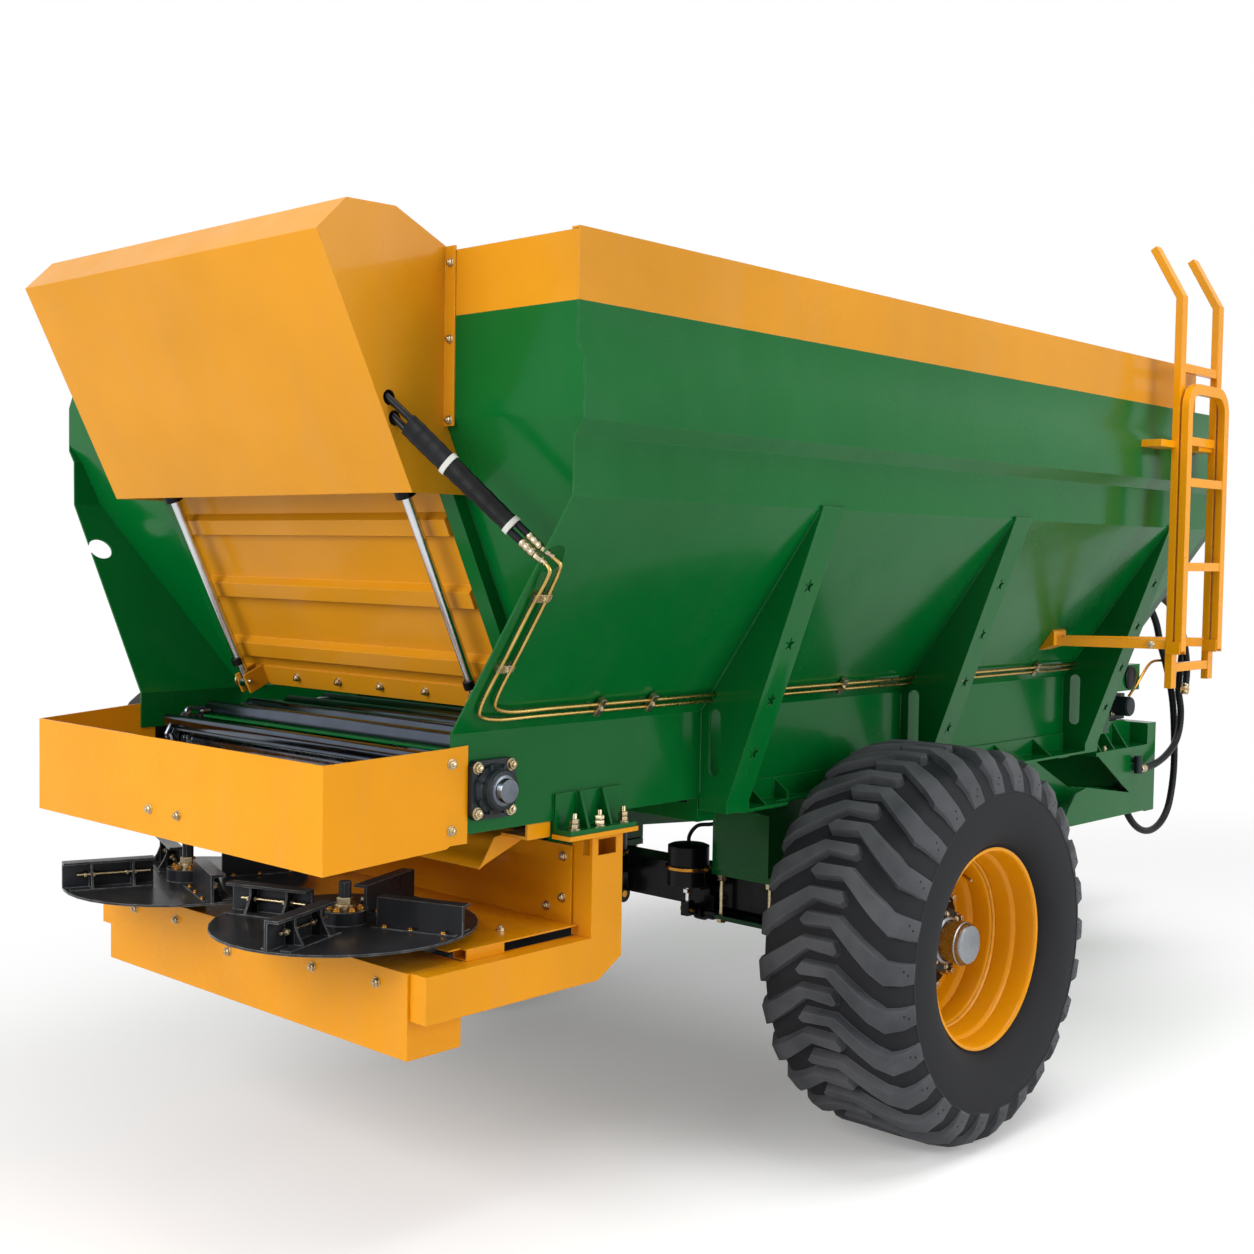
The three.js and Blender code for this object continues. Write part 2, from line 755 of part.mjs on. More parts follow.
function chainLoop() {
  const outline = (radius) => {
    const shape = new THREE.Shape();
    shape.absarc(frontShaftY, shaftHeight, radius, -Math.PI / 2, Math.PI / 2, false);
    shape.absarc(shaftY, shaftHeight, radius, Math.PI / 2, 1.5 * Math.PI, false);
    return shape;
  };
  const inner = chainRadius - chainThickness / 2;
  const outer = chainRadius + chainThickness / 2;
  const strand = prism("x", outline(outer), chainX - chainWidth / 2, chainX + chainWidth / 2, 8)
    .subtract(prism("x", outline(inner), chainX - chainWidth, chainX + chainWidth, 8));
  const slatHalfLength = chainX + chainWidth / 2 + 12;
  const slatShape = polygon([
    [-slatWidth / 2, inner],
    [slatWidth / 2, inner],
    [slatWidth / 2 - 6, outer + slatHeight],
    [-slatWidth / 2 + 6, outer + slatHeight],
  ]);
  const slat = prism("x", slatShape, -slatHalfLength, slatHalfLength);
  const straight = frontShaftY - shaftY;
  const halfTurn = Math.PI * chainRadius;
  const count = Math.round((2 * (straight + halfTurn)) / slatPitch);
  const pitch = (2 * (straight + halfTurn)) / count;
  const slats = Array.from({ length: count }, (_, i) => moved(slat, placeOnLoop(pitch * (i + 0.5))));
  return join(bothSides(strand), ...slats);
}
part("floor_chain", chainLoop(), wornSteel);

function sprocketShaft(leftEnd, rightEnd) {
  const core = bar([leftEnd, 0, 0], [rightEnd, 0, 0], shaftRadius, 12);
  const sprocket = bar(
    [chainX - sprocketHalfWidth, 0, 0], [chainX + sprocketHalfWidth, 0, 0], sprocketRadius, 16,
  );
  return core.add(bothSides(sprocket));
}
const rearShaft = part("conveyor_rear_shaft", sprocketShaft(-840, 775), wornSteel);
rearShaft.position.set(0, shaftY, shaftHeight);
const frontShaft = part("conveyor_front_shaft", sprocketShaft(-694, 694), wornSteel);
frontShaft.position.set(0, frontShaftY, shaftHeight);

function flangeBearing() {
  const half = 72;
  const shape = polygon([
    [-half, -half + 14], [-half + 14, -half], [half - 14, -half], [half, -half + 14],
    [half, half - 14], [half - 14, half], [-half + 14, half], [-half, half - 14],
  ]);
  const flange = prism("x", shape, 0, 18);
  const boss = bar([0, 0, 0], [44, 0, 0], 52, 20);
  const seatBore = bar([-1, 0, 0], [50, 0, 0], shaftRadius + seatGap, 12);
  return flange.add(boss).subtract(seatBore);
}
const bearing = part("rear_bearing", flangeBearing(), castBlue);
bearing.position.set(skirtHalfWidth + seatGap, shaftY, shaftHeight);

function conveyorGearbox() {
  const housing = bar([-790, 0, 0], [-730, 0, 0], 150, 24);
  const neck = bar([-735, 0, 0], [-skirtHalfWidth - seatGap, 0, 0], 70, 16);
  const cover = bar([-860, 0, 0], [-785, 0, 0], 95, 20);
  const motor = box(-905, -800, 40, 190, -70, 70);
  const bore = bar([-845, 0, 0], [-690, 0, 0], shaftRadius + seatGap, 12);
  return join(housing, neck, cover, motor).subtract(bore);
}
const gearbox = part("conveyor_gearbox", conveyorGearbox(), blackPaint);
gearbox.position.set(0, shaftY, shaftHeight);

// ---------------------------------------------------------------------------------------------
// Deflector box behind the conveyor

function deflectorBox() {
  const frontHalfWidth = skirtHalfWidth + seatGap + thinSheet;
  const plan = [
    [frontHalfWidth, deflectorFront],
    [frontHalfWidth, hopperRear - 20],
    [deflectorHalfWidthRear, deflectorRear],
    [-deflectorHalfWidthRear, deflectorRear],
    [-frontHalfWidth, hopperRear - 20],
    [-frontHalfWidth, deflectorFront],
  ];
  const walls = prism("z", foldedSheet(plan, thinSheet), 960, 1290);
  const side = [
    [deflectorRear - 10, 987],
    [-1655, 987 + 31],
    [-1645, 1024],
    [deflectorFront + 10, 1024],
    [deflectorFront + 10, 1262],
    [deflectorRear - 10, 1240],
  ];
  return walls.intersect(prism("x", polygon(side), -800, 800));
}
part("deflector_box", deflectorBox(), amber);

// ---------------------------------------------------------------------------------------------
// Spinner frame, gearboxes and discs

function crossBox() {
  const front = -1580;
  const half = crossBoxHalfWidth;
  const outside = box(-half, half, crossBoxRear, front, crossBoxBottom, crossBoxTop);
  const inside = box(
    -half + sheet, half - sheet, crossBoxRear + sheet, front - sheet, crossBoxBottom - 1, crossBoxTop - sheet,
  );
  const neckHoles = [-discX, discX].map((x) => bar([x, discY, crossBoxTop - 20], [x, discY, crossBoxTop + 20], 56, 20));
  return neckHoles.reduce((left, hole) => left.subtract(hole), outside.subtract(inside));
}
part("spinner_cross_box", crossBox(), amber);

// The arm is a beam with its front end mitred under a slotted leg, which hangs from the hopper's bracket.
function spinnerArm() {
  const inner = crossBoxHalfWidth + seatGap;
  const side = polygon([
    [crossBoxRear + 8, armBottom],
    [armFront - 87, armBottom],
    [armFront, armBottom + 51],
    [armFront, crossBoxTop],
    [crossBoxRear + 8, crossBoxTop],
  ]);
  const arm = prism("x", side, inner, armOuterX);
  const top = hangerBase - seatGap;
  const legInner = inner - 15;
  const legTop = top - 4;
  const leg = box(legInner, armOuterX, legRear, armFront, crossBoxTop - 1, legTop);
  const hollow = box(
    legInner + sheet, armOuterX - sheet, legRear + sheet, armFront - sheet, crossBoxTop + sheet, legTop - sheet,
  );
  const slotBottom = top - 68;
  const slotTop = slotBottom + 42;
  const rearSlot = box(legInner + 38, armOuterX - 10, legRear - 1, legRear + sheet + 1, slotBottom, slotTop);
  const sideSlot = box(armOuterX - sheet - 1, armOuterX + 1, legRear + 22, armFront - 25, slotBottom, slotTop);
  const panFlange = box(legInner - 50, legInner + 1, legRear, legRear + sheet, panFloorHeight + 10, panWallTop);
  const plate = box(skirtHalfWidth + 1, 767, hangerRear - 5, hangerFront + 5, top - 12, top);
  const slottedLeg = leg.subtract(join(hollow, rearSlot, sideSlot));
  return join(arm, slottedLeg, panFlange, plate);
}
const rightArm = spinnerArm();
part("spinner_arm_right", rightArm, amber);
part("spinner_arm_left", mirrored(rightArm), amber);

// The pan is one folded sheet: a floor cut round the discs and a wall in front of them. It stands on
// a short channel on each arm, and its wall is bolted to the legs.
function spinnerPan() {
  const path = [
    [panWallY, panWallTop],
    [panWallY, panFloorHeight],
    [discY - 50, panFloorHeight],
  ];
  const folded = prism("x", foldedSheet(path, thinSheet), -panHalfWidth, panHalfWidth);
  const floorBottom = panFloorHeight - 100;
  const floorTop = panFloorHeight + 100;
  const cutters = [-discX, discX].map(
    (x) => bar([x, discY, floorBottom], [x, discY, floorTop], discRadius - 60, 32),
  );
  const behindDiscs = box(-panHalfWidth - 1, panHalfWidth + 1, discY - 60, discY + 76, floorBottom, floorTop);
  const channelInner = panHalfWidth - 28;
  const channelOuter = panHalfWidth + 22;
  const foot = crossBoxTop + seatGap;
  const channelFront = panWallY - 260;
  const outside = box(channelInner, channelOuter, channelFront - 125, channelFront, foot, panFloorHeight + 1);
  const hollow = box(
    channelInner + thinSheet, channelOuter - thinSheet, channelFront - 126, channelFront + 1,
    foot + thinSheet, panFloorHeight + 2,
  );
  const channel = outside.subtract(hollow);
  const plate = cutters.reduce((left, cut) => left.subtract(cut), folded).subtract(behindDiscs);
  const edge = box(panHalfWidth - 2, channelOuter, channelFront - 125, panWallY, panFloorHeight, panFloorHeight + thinSheet);
  return join(plate, bothSides(channel.add(edge)));
}
part("spinner_pan", spinnerPan(), amber);

// The chute drops what leaves the floor chain onto the discs. It hangs from ears inside the skirts.
function dropChute() {
  const path = [
    [-1285, 998],
    [-1437, 940],
    [-1459, 928],
  ];
  const trough = prism("x", foldedSheet(path, thinSheet), -chuteHalfWidth, chuteHalfWidth);
  const cheekTop = 1012;
  const cheekShape = polygon([
    [-1285, cheekTop],
    [-1285, 996],
    [-1437, 938],
    [-1459, 926],
    [-1440, 952],
    [-1406, 1003],
    [-1354, cheekTop],
  ]);
  const cheek = prism("x", cheekShape, chuteHalfWidth - 2, chuteHalfWidth + 2);
  const earOuter = skirtHalfWidth - sheet - seatGap;
  const hanger = box(chuteHalfWidth - 2, earOuter, -1380, -1300, cheekTop - 8, cheekTop);
  const ear = box(earOuter - 8, earOuter, -1380, -1300, cheekTop - 8, skirtBottom + 30);
  return join(trough, bothSides(join(cheek, hanger, ear)));
}
part("drop_chute", dropChute(), amber);

const discHubDepth = 10;
function spinnerGearboxes() {
  const top = crossBoxTop - sheet - seatGap;
  const cases = [-discX, discX].map((x) => box(x - 90, x + 90, discY - 48, discY + 48, top - 150, top));
  const necks = [-discX, discX].map((x) => bar([x, discY, top - 10], [x, discY, discHeight - discHubDepth - seatGap], 50, 20));
  const crossShaft = bar([-discX, discY, top - 75], [discX, discY, top - 75], 24);
  return join(...cases, ...necks, crossShaft);
}
part("spinner_gearboxes", spinnerGearboxes(), blackPaint);

// One vane: an angle section standing on the disc with two gussets, leaning along the radius.
function discVane(turn) {
  const inner = 95;
  const outer = vaneReach - 8;
  const foot = discThickness - 1;
  const wall = box(inner, outer, -4, 4, foot, foot + vaneHeight);
  const cap = box(inner, outer, -4, 34, foot + vaneHeight - 7, foot + vaneHeight);
  const gussets = [150, 260].map((x) => box(x, x + 6, 3, 32, foot, foot + vaneHeight - 2));
  const vane = join(wall, cap, ...gussets);
  const lean = new THREE.Matrix4().makeRotationZ(turn);
  return moved(vane, lean);
}

function spinnerDisc(firstTurn) {
  const plate = bar([0, 0, 0], [0, 0, discThickness], discRadius, 36);
  const hub = bar([0, 0, -discHubDepth], [0, 0, 40], 58, 12);
  const stub = bar([0, 0, 35], [0, 0, 110], 16, 8);
  const vanes = Array.from({ length: vaneCount }, (_, i) => discVane(firstTurn + (i * 2 * Math.PI) / vaneCount));
  return join(plate, hub, stub, ...vanes);
}

for (const [side, x, turn] of [["right", discX, 0.35], ["left", -discX, 1.2]]) {
  const disc = part(`spinner_disc_${side}`, spinnerDisc(turn), discBlack);
  disc.position.set(x, discY, discHeight);
}

// ---------------------------------------------------------------------------------------------
// Axle, chassis and drawbar

function axle() {
  const half = hubBackX - 20;
  const z = axleHeight;
  const beam = box(-half, half, -axleHalfDepth, axleHalfDepth, z - axleHalfHeight, z + axleHalfHeight);
  const stub = bar([half - 1, 0, tyreRadius], [hubBackX + 40, 0, tyreRadius], axleStubRadius, 16);
  const chamber = bar([185, -150, 640], [185, -150, 770], 68, 16);
  const bracket = box(140, 230, -90, -50, 560, 690);
  const bracketPlate = box(125, 245, -160, -55, 628, 642);
  const camTube = bar([205, -75, 540], [700, -75, 540], 20, 10);
  const camMount = box(640, 700, -90, -50, 520, 600);
  const camMountInner = box(205, 245, -90, -50, 520, 600);
  const stubs = bothSides(join(stub, chamber, bracket, bracketPlate, camTube, camMount, camMountInner));
  return beam.add(stubs);
}
part("axle", axle(), blackPaint);

function chassis() {
  const sillOuter = skirtHalfWidth - sheet - seatGap;
  const sill = box(sillOuter - 40, sillOuter, -1000, hopperFront - 60, skirtBottom, skirtBottom + 60);
  const crossMembers = [-677, -330, 330, hopperFront - 310].map((y) => join(
    box(-sillOuter, sillOuter, y - 40, y + 40, 975, 1025),
    bothSides(box(sillOuter - 40, sillOuter, y - 40, y + 40, 1000, skirtBottom + 1)),
  ));
  const columnShape = polygon([
    [-130, clampPlateHeight + 1],
    [130, clampPlateHeight + 1],
    [130, 900],
    [370, 976],
    [-370, 976],
    [-130, 900],
  ]);
  const column = prism("x", columnShape, pedestalInnerX, pedestalOuterX);
  const clampPlate = box(
    pedestalInnerX - 10, pedestalOuterX + 10, -120, 120, axleHeight + axleHalfHeight + seatGap, clampPlateHeight + 2,
  );
  const beamBottom = 660;
  const sideBeam = polygon([
    [100, 720],
    [900, beamBottom],
    [frameFront - 75, beamBottom],
    [frameFront - 75, 745],
    [frameFront - 600, 800],
    [frameFront - 980, 976],
    [100, 976],
  ]);
  const beamOuter = pedestalOuterX;
  const beam = prism("x", sideBeam, beamOuter - 60, beamOuter);
  return join(frontFrame(), ...crossMembers, bothSides(join(sill, column, clampPlate, beam)));
}
part("chassis", chassis(), green);

// The front frame: a deck with bolted brackets, a front plate and side plates cut out round a notch.
function frontFrame() {
  const deckRear = frameFront - 555;
  const deckBottom = deckTop - 15;
  const deck = box(-frameHalfWidth, frameHalfWidth, deckRear, frameFront - 60, deckBottom, deckTop);
  const frontPlate = box(-frameHalfWidth, frameHalfWidth, frameFront - 80, frameFront, 655, 1036);
  const ridgeShape = polygon([
    [deckRear + 10, deckTop - 1],
    [deckRear + 10, deckTop + 40],
    [deckRear + 135, deckTop + 105],
    [frameFront - 150, deckTop + 105],
    [frameFront - 70, deckTop + 85],
    [frameFront - 70, deckTop - 1],
  ]);
  const ridge = prism("x", ridgeShape, frameHalfWidth - 90, frameHalfWidth - 82);
  const gussetShape = polygon([
    [frameHalfWidth - 84, deckTop - 1],
    [frameHalfWidth - 12, deckTop - 1],
    [frameHalfWidth - 84, deckTop + 100],
  ]);
  const gussets = [65, 185, 305].map((y) => prism("y", gussetShape, deckRear + y, deckRear + y + 8));
  const sidePlateShape = polygon([
    [frameFront - 840, 668],
    [frameFront - 780, 745],
    [frameFront - 720, 795],
    [frameFront - 635, 811],
    [frameFront - 240, 752],
    [deckRear + 5, deckTop - 8],
    [frameFront - 70, deckTop - 8],
    [frameFront - 70, 660],
  ]);
  const sidePlate = prism("x", sidePlateShape, frameHalfWidth - 6, frameHalfWidth);
  return join(deck, frontPlate, bothSides(join(ridge, sidePlate, ...gussets)));
}

function drawbar() {
  const root = frameFront + seatGap;
  const eyeY = drawbarFront - eyeOuterRadius;
  const plan = polygon([
    [-260, root],
    [260, root],
    [70, eyeY - 260],
    [60, eyeY - 30],
    [-60, eyeY - 30],
    [-70, eyeY - 260],
  ]);
  const side = polygon([
    [root - 1, 680],
    [root - 1, 860],
    [eyeY - 200, 830],
    [eyeY, 800],
    [eyeY, 720],
    [eyeY - 200, 700],
  ]);
  const beam = prism("z", plan, 600, 900).intersect(prism("x", side, -400, 400));
  const eyeBlock = bar([0, eyeY, drawbarHeight - 30], [0, eyeY, drawbarHeight + 30], eyeOuterRadius, 32);
  const bore = bar([0, eyeY, drawbarHeight - 90], [0, eyeY, drawbarHeight + 90], eyeBoreRadius, 24);
  const jackArm = box(jackX + 45, -60, jackY - 40, jackY + 40, 720, 790);
  return join(beam, eyeBlock, jackArm).subtract(bore);
}
part("drawbar", drawbar(), green);

// Parking jack: a square tube on the drawbar with a leg that slides up inside it.
const jackTubeBottom = 420;
const jackTubeTop = 960;
const jackLegHalf = 32;
function jackTube() {
  const outside = box(jackX - 45, jackX + 45 - seatGap, jackY - 45, jackY + 45, jackTubeBottom, jackTubeTop);
  const boreHalf = jackLegHalf + slidingGap;
  const bore = box(
    jackX - boreHalf, jackX + boreHalf, jackY - boreHalf, jackY + boreHalf, jackTubeBottom - 1, jackTubeTop - 12,
  );
  const crank = bar([jackX - 44, jackY, jackTubeTop - 30], [jackX - 150, jackY, jackTubeTop - 30], 11, 12);
  const knob = bar([jackX - 140, jackY, jackTubeTop - 130], [jackX - 140, jackY, jackTubeTop - 20], 12, 12);
  return join(outside.subtract(bore), crank, knob);
}
part("jack_tube", jackTube(), blackPaint);

function jackLeg() {
  const half = jackLegHalf;
  const leg = box(jackX - half, jackX + half, jackY - half, jackY + half, 8, jackTubeBottom + 150);
  const foot = box(jackX - 95, jackX + 95, jackY - 95, jackY + 95, 0, 12);
  return leg.add(foot);
}
part("jack_leg", jackLeg(), wornSteel);

// Input gearbox with its PTO stub on the front frame
const ptoHeight = 1105;
const ptoRadius = 24;
const ptoSides = 24;
function inputGearbox() {
  const base = box(-110, 110, frameFront - 190, frameFront - 85, deckTop + seatGap, 1090);
  const nose = bar([0, frameFront - 90, ptoHeight], [0, frameFront + 20, ptoHeight], 55, 24);
  const boreRadius = (ptoRadius + slidingGap) / Math.cos(Math.PI / ptoSides);
  const bore = bar([0, frameFront - 60, ptoHeight], [0, frameFront + 21, ptoHeight], boreRadius, ptoSides);
  const top = box(-110, 110, frameFront - 190, frameFront - 85, 1080, 1140);
  return join(base, top, nose).subtract(bore);
}
part("input_gearbox", inputGearbox(), blackPaint);

function ptoStub() {
  const shaft = bar([0, -56, 0], [0, 120, 0], ptoRadius, ptoSides);
  const collar = bar([0, 25, 0], [0, 50, 0], 34, 20);
  return shaft.add(collar);
}
const pto = part("pto_stub", ptoStub(), wornSteel);
pto.position.set(0, frameFront, ptoHeight);

// ---------------------------------------------------------------------------------------------
// Hydraulic tank, pump and pipes

function hydraulicTank() {
  const rear = frameFront - 300;
  const middle = frameFront - 190;
  const tank = box(330, 560, rear, rear + 210, 1180, 1290);
  const post = box(340, 352, rear + 20, rear + 200, deckTop + seatGap, 1181);
  const neck = bar([440, middle, 1289], [440, middle, 1325], 22, 16);
  return join(tank, post, neck);
}
part("hydraulic_tank", hydraulicTank(), green);

function pumpBlock() {
  const rear = frameFront - 250;
  const middle = rear + 75;
  const body = box(380, 500, rear, rear + 150, 1050, 1160);
  const pedestal = box(400, 480, rear + 20, rear + 120, deckTop + seatGap, 1051);
  const nose = bar([499, middle, 1110], [560, middle, 1110], 42, 20);
  return join(body, pedestal, nose);
}
part("pump_block", pumpBlock(), castBlue);

// The pipes run along the slope, climb it near the rear edge and turn in through the hole.
function pressurePipe({ x, z }, points) {
  const runRear = -1350;
  const run = bar([x, ribRears[2] + 80, z], [x, runRear, z], pipeRadius, 8);
  return run.add(tube([[x, runRear + 10, z], ...points], pipeRadius, 8, 36));
}

const lowerPipeEnd = [966, -1630, 1722];
part("hydraulic_pipe_lower", pressurePipe(lowerPipe, [
  [737, -1400, 1322], [738, -1540, 1323], [745, -1590, 1336], [762, -1602, 1362],
  [850, -1604, 1486], [938, -1606, 1610], [964, -1608, 1640], [989, -1611, 1671],
  [999, -1615, 1687], [990, -1619, 1702], lowerPipeEnd,
]), zinc);

const upperPipeEnd = [975, -1616, 1737];
part("hydraulic_pipe_upper", pressurePipe(upperPipe, [
  [750, -1370, 1340], [751, -1505, 1341], [759, -1553, 1355], [776, -1565, 1380],
  [860, -1568, 1499], [949, -1572, 1624], [973, -1576, 1656], [997, -1583, 1685],
  [1009, -1592, 1701], [1000, -1600, 1713], [988, -1608, 1726], upperPipeEnd,
]), zinc);

// ---------------------------------------------------------------------------------------------
// Hoses

function hose(name, points, radius, steps) {
  part(name, tube(points, radius, 8, steps), hoseRubber);
}

// The gate hoses carry on from the pipes' ends, through the hood's slot, to the right barrel's ports.
const hoseStartGap = 0.6;
function afterPipe([x, y, z]) {
  return [x - 0.64 * hoseStartGap, y - 0.36 * hoseStartGap, z + 0.68 * hoseStartGap];
}

const barrelSideX = rodX + barrelRadius + seatGap;
hose("gate_hose_lower", [
  afterPipe(lowerPipeEnd), [866, -1688, 1825], [765, -1744, 1930], [690, -1784, 2008],
  [634, -1790, 2052], [592, -1752, 2064], [565, -1735, 2062], [barrelSideX, -1735, 2062],
], gateHoseRadius, 9);
hose("gate_hose_upper", [
  afterPipe(upperPipeEnd), [872, -1680, 1850], [768, -1748, 1964], [694, -1794, 2046],
  [636, -1812, 2096], [592, -1774, 2112], [565, -1756, 2110], [barrelSideX, -1756, 2110],
], gateHoseRadius, 9);

// The supply hoses leave the front wall, hang in front of the frame and turn back to it.
const supplyHoseRadius = 15;
const wallPortY = hopperFront + 5 + 2 * seatGap;
const hoseElbow = { x: 625, y: frameFront - 218, z: 852 };
hose("supply_hose_low", [
  [540, wallPortY, 1600], [540, 1850, 1600], [555, 2050, 1616], [575, 2220, 1607], [592, 2360, 1561],
  [600, 2445, 1474], [600, 2500, 1375], [600, 2567, 1277], [600, 2641, 1126], [600, 2672, 970],
  [600, 2680, 833], [600, 2665, 734], [600, 2623, 639], [597, 2553, 583], [590, 2466, 562],
  [580, 2384, 580], [570, 2300, 645], [562, 2255, 740], [557, 2237, 820],
  [557, 2237, deckTop - 15 - seatGap],
], supplyHoseRadius, 27);
hose("supply_hose_elbow", [
  [600, wallPortY, 1612], [600, 1850, 1612], [608, 2060, 1632], [622, 2250, 1628], [634, 2420, 1590],
  [640, 2560, 1500], [640, 2632, 1390], [640, 2622, 1270], [640, 2608, 1180], [640, 2640, 1080],
  [640, 2632, 1000], [640, 2590, 940], [638, 2500, 890], [632, 2400, 860], [626, 2330, 852],
  [hoseElbow.x, hoseElbow.y + 17 + seatGap, hoseElbow.z],
], supplyHoseRadius, 23);
hose("supply_hose_spare", [
  [660, wallPortY, 1600], [660, 1850, 1600], [666, 2060, 1614], [672, 2240, 1600], [678, 2400, 1550],
  [680, 2510, 1465], [680, 2575, 1350], [680, 2597, 1250], [680, 2578, 1160],
], supplyHoseRadius, 12);

// The elbow that takes a supply hose into the front frame's side plate.
function elbow() {
  const { x, y, z } = hoseElbow;
  const upright = bar([x, y, z - 17], [x, y, z + 55], 17, 12);
  const peg = bar([frameHalfWidth + seatGap, y, z + 36], [x, y, z + 36], 12, 12);
  return upright.add(peg);
}
part("hose_elbow", elbow(), castBlue);

// ---------------------------------------------------------------------------------------------
// Access ladder

const railYs = [ladderRearY, ladderRearY + ladderSpacing];

function ladderRail(y, x, z0, z1) {
  const half = railDepth / 2;
  return box(x - half, x + half, y - railWidth / 2, y + railWidth / 2, z0, z1);
}

function rung(x, z, height = 30) {
  const half = railDepth / 2;
  return box(x - half + 2, x + half - 2, railYs[0], railYs[1], z - height / 2, z + height / 2);
}

function fixedLadder() {
  const rails = railYs.map((y, i) => ladderRail(y, ladderX, 1288 + 20 * i, ladderTop));
  const grips = railYs.map((y) => flatBar(
    [ladderX, y, ladderTop - 6], [ladderX - 100, y, ladderTop + 172], railWidth, railDepth, unit.y,
  ));
  const rungs = [ladderTop - 245, 2155, 1360].map((z) => rung(ladderX, z));
  const upperFeet = railYs.map((y) => box(
    beltHalfWidth + seatGap, ladderX, y - 130, y + railWidth / 2, beltTop - 28, beltTop - 4,
  ));
  const footZ = 1440;
  const footY = railYs[0] - 140;
  const footX = slopeX(footZ);
  const lowerArm = flatBar([footX + 30, footY, footZ], [ladderX, railYs[0], footZ], 32, 24, unit.z);
  const farArm = flatBar([footX + 34, footY + 35, footZ + 4], [ladderX, railYs[1], footZ], 32, 20, unit.z);
  const lugShape = polygon([
    [slopeX(footZ + 40) + 2 * seatGap, footZ + 40],
    [slopeX(footZ - 35) + 2 * seatGap, footZ - 35],
    [footX + 36, footZ - 16],
    [footX + 36, footZ + 34],
  ]);
  const lug = prism("y", lugShape, footY - 30, footY + 60);
  const ears = railYs.flatMap((y) => [-1, 1].map((side) => {
    const centre = y + side * (railWidth / 2 + 2.5);
    return box(ladderX - 10, foldingX + 10, centre - 3, centre + 3, hingeHeight - 22, hingeHeight + 22);
  }));
  return join(...rails, ...grips, ...rungs, ...upperFeet, lowerArm, farArm, lug, ...ears);
}
part("ladder", fixedLadder(), amber);

function foldingLadder() {
  const half = railDepth / 2;
  const bottom = hingeHeight - 12;
  const outline = new THREE.Shape();
  const outer = ladderSpacing / 2 + railWidth / 2 - 0.5 - slidingGap;
  const inner = ladderSpacing / 2 - railWidth / 2 + 2;
  const crownZ = foldingCrown;
  const bend = 90;
  outline.moveTo(-outer, bottom);
  outline.lineTo(-inner, bottom);
  outline.lineTo(-inner, crownZ - bend);
  outline.absarc(-inner + bend - 36, crownZ - bend, bend - 36, Math.PI, Math.PI / 2, true);
  outline.absarc(inner - bend + 36, crownZ - bend, bend - 36, Math.PI / 2, 0, true);
  outline.lineTo(inner, bottom);
  outline.lineTo(outer, bottom);
  outline.lineTo(outer, crownZ - bend);
  outline.absarc(outer - bend, crownZ - bend, bend, 0, Math.PI / 2, false);
  outline.absarc(-outer + bend, crownZ - bend, bend, Math.PI / 2, Math.PI, false);
  const frame = prism("x", outline, -half, half, 6);
  const rungs = [2007, 1713].map((z) => box(-half + 2, half - 2, -inner - 1, inner + 1, z - 15, z + 15));
  return join(frame, ...rungs);
}
const folding = part("ladder_folding_section", foldingLadder(), amber);
folding.position.set(foldingX, ladderRearY + ladderSpacing / 2, 0);

// ---------------------------------------------------------------------------------------------
// Wheels

// Radii are given to the flats of the many-sided outline.
function toCorners([radius, height]) {
  return [radius / Math.cos(Math.PI / wheelSides), height];
}

function tyre() {
  const half = tyreWidth / 2;
  const bead = rimFlangeRadius - 11;
  const wall = [
    [bead, half - 64],
    [rimFlangeRadius + 6, half - 60],
    [rimFlangeRadius + 40, half - 24],
    [rimFlangeRadius + 110, half],
    [tyreRadius - 80, half - 6],
    [tyreRadius - 20, half - 42],
    [tyreRadius, half - 90],
  ];
  const left = wall.map(([radius, height]) => [radius, -height]);
  const right = [...wall].reverse();
  const profile = [...left, ...right, left[0]].map(toCorners);
  return revolved(profile, wheelSides, "x");
}

function rimAndHub() {
  const flange = rimFlangeRadius;
  const half = rimWidth / 2;
  const seat = flange - 11 - seatGap;
  const rimProfile = [
    [flange - 18, -half], [flange, -half], [seat, -half + 14], [seat, half - 14], [flange, half],
    [flange - 18, half], [seat - 10, half - 78], [seat - 42, half - 108], [seat - 42, wheelDiscX + 14],
    [hubRadius - 5, wheelDiscX + 14], [hubRadius - 5, wheelDiscX], [seat - 42, wheelDiscX - 16],
    [seat - 42, -half + 88], [flange - 18, -half],
  ];
  const rim = revolved(rimProfile.map(toCorners), wheelSides, "x");
  const hubBack = hubBackX - wheelCentreX;
  const cap = hubCapX - wheelCentreX;
  const hubProfile = [
    [0, hubBack], [hubFlangeRadius, hubBack], [hubFlangeRadius, 0], [hubRadius, 0], [hubRadius, 60],
    [hubCapRadius, 75],
    [hubCapRadius, cap - 8], [hubCapRadius - 8, cap], [0, cap],
  ];
  const hub = revolved(hubProfile, wheelSides / 2, "x");
  const bore = bar([hubBack - 1, 0, 0], [hubBack + 42, 0, 0], axleStubRadius + 1, 16);
  return rim.add(hub).subtract(bore);
}

for (const [side, x, turn] of [["right", wheelCentreX, 0], ["left", -wheelCentreX, Math.PI]]) {
  const wheel = new THREE.Group();
  wheel.position.set(x, 0, tyreRadius);
  wheel.rotation.z = turn;
  machine.add(wheel);
  part(`tyre_${side}`, tyre(), tyreRubber, wheel);
  part(`wheel_${side}`, rimAndHub(), amber, wheel);
}

export default group;
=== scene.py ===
"""Looks for the towed manure spreader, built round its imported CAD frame. Metres, +Y forward, +Z up."""

import json
import math
import random

import bmesh
import bpy
from mathutils import Matrix, Vector
from mathutils.bvhtree import BVHTree


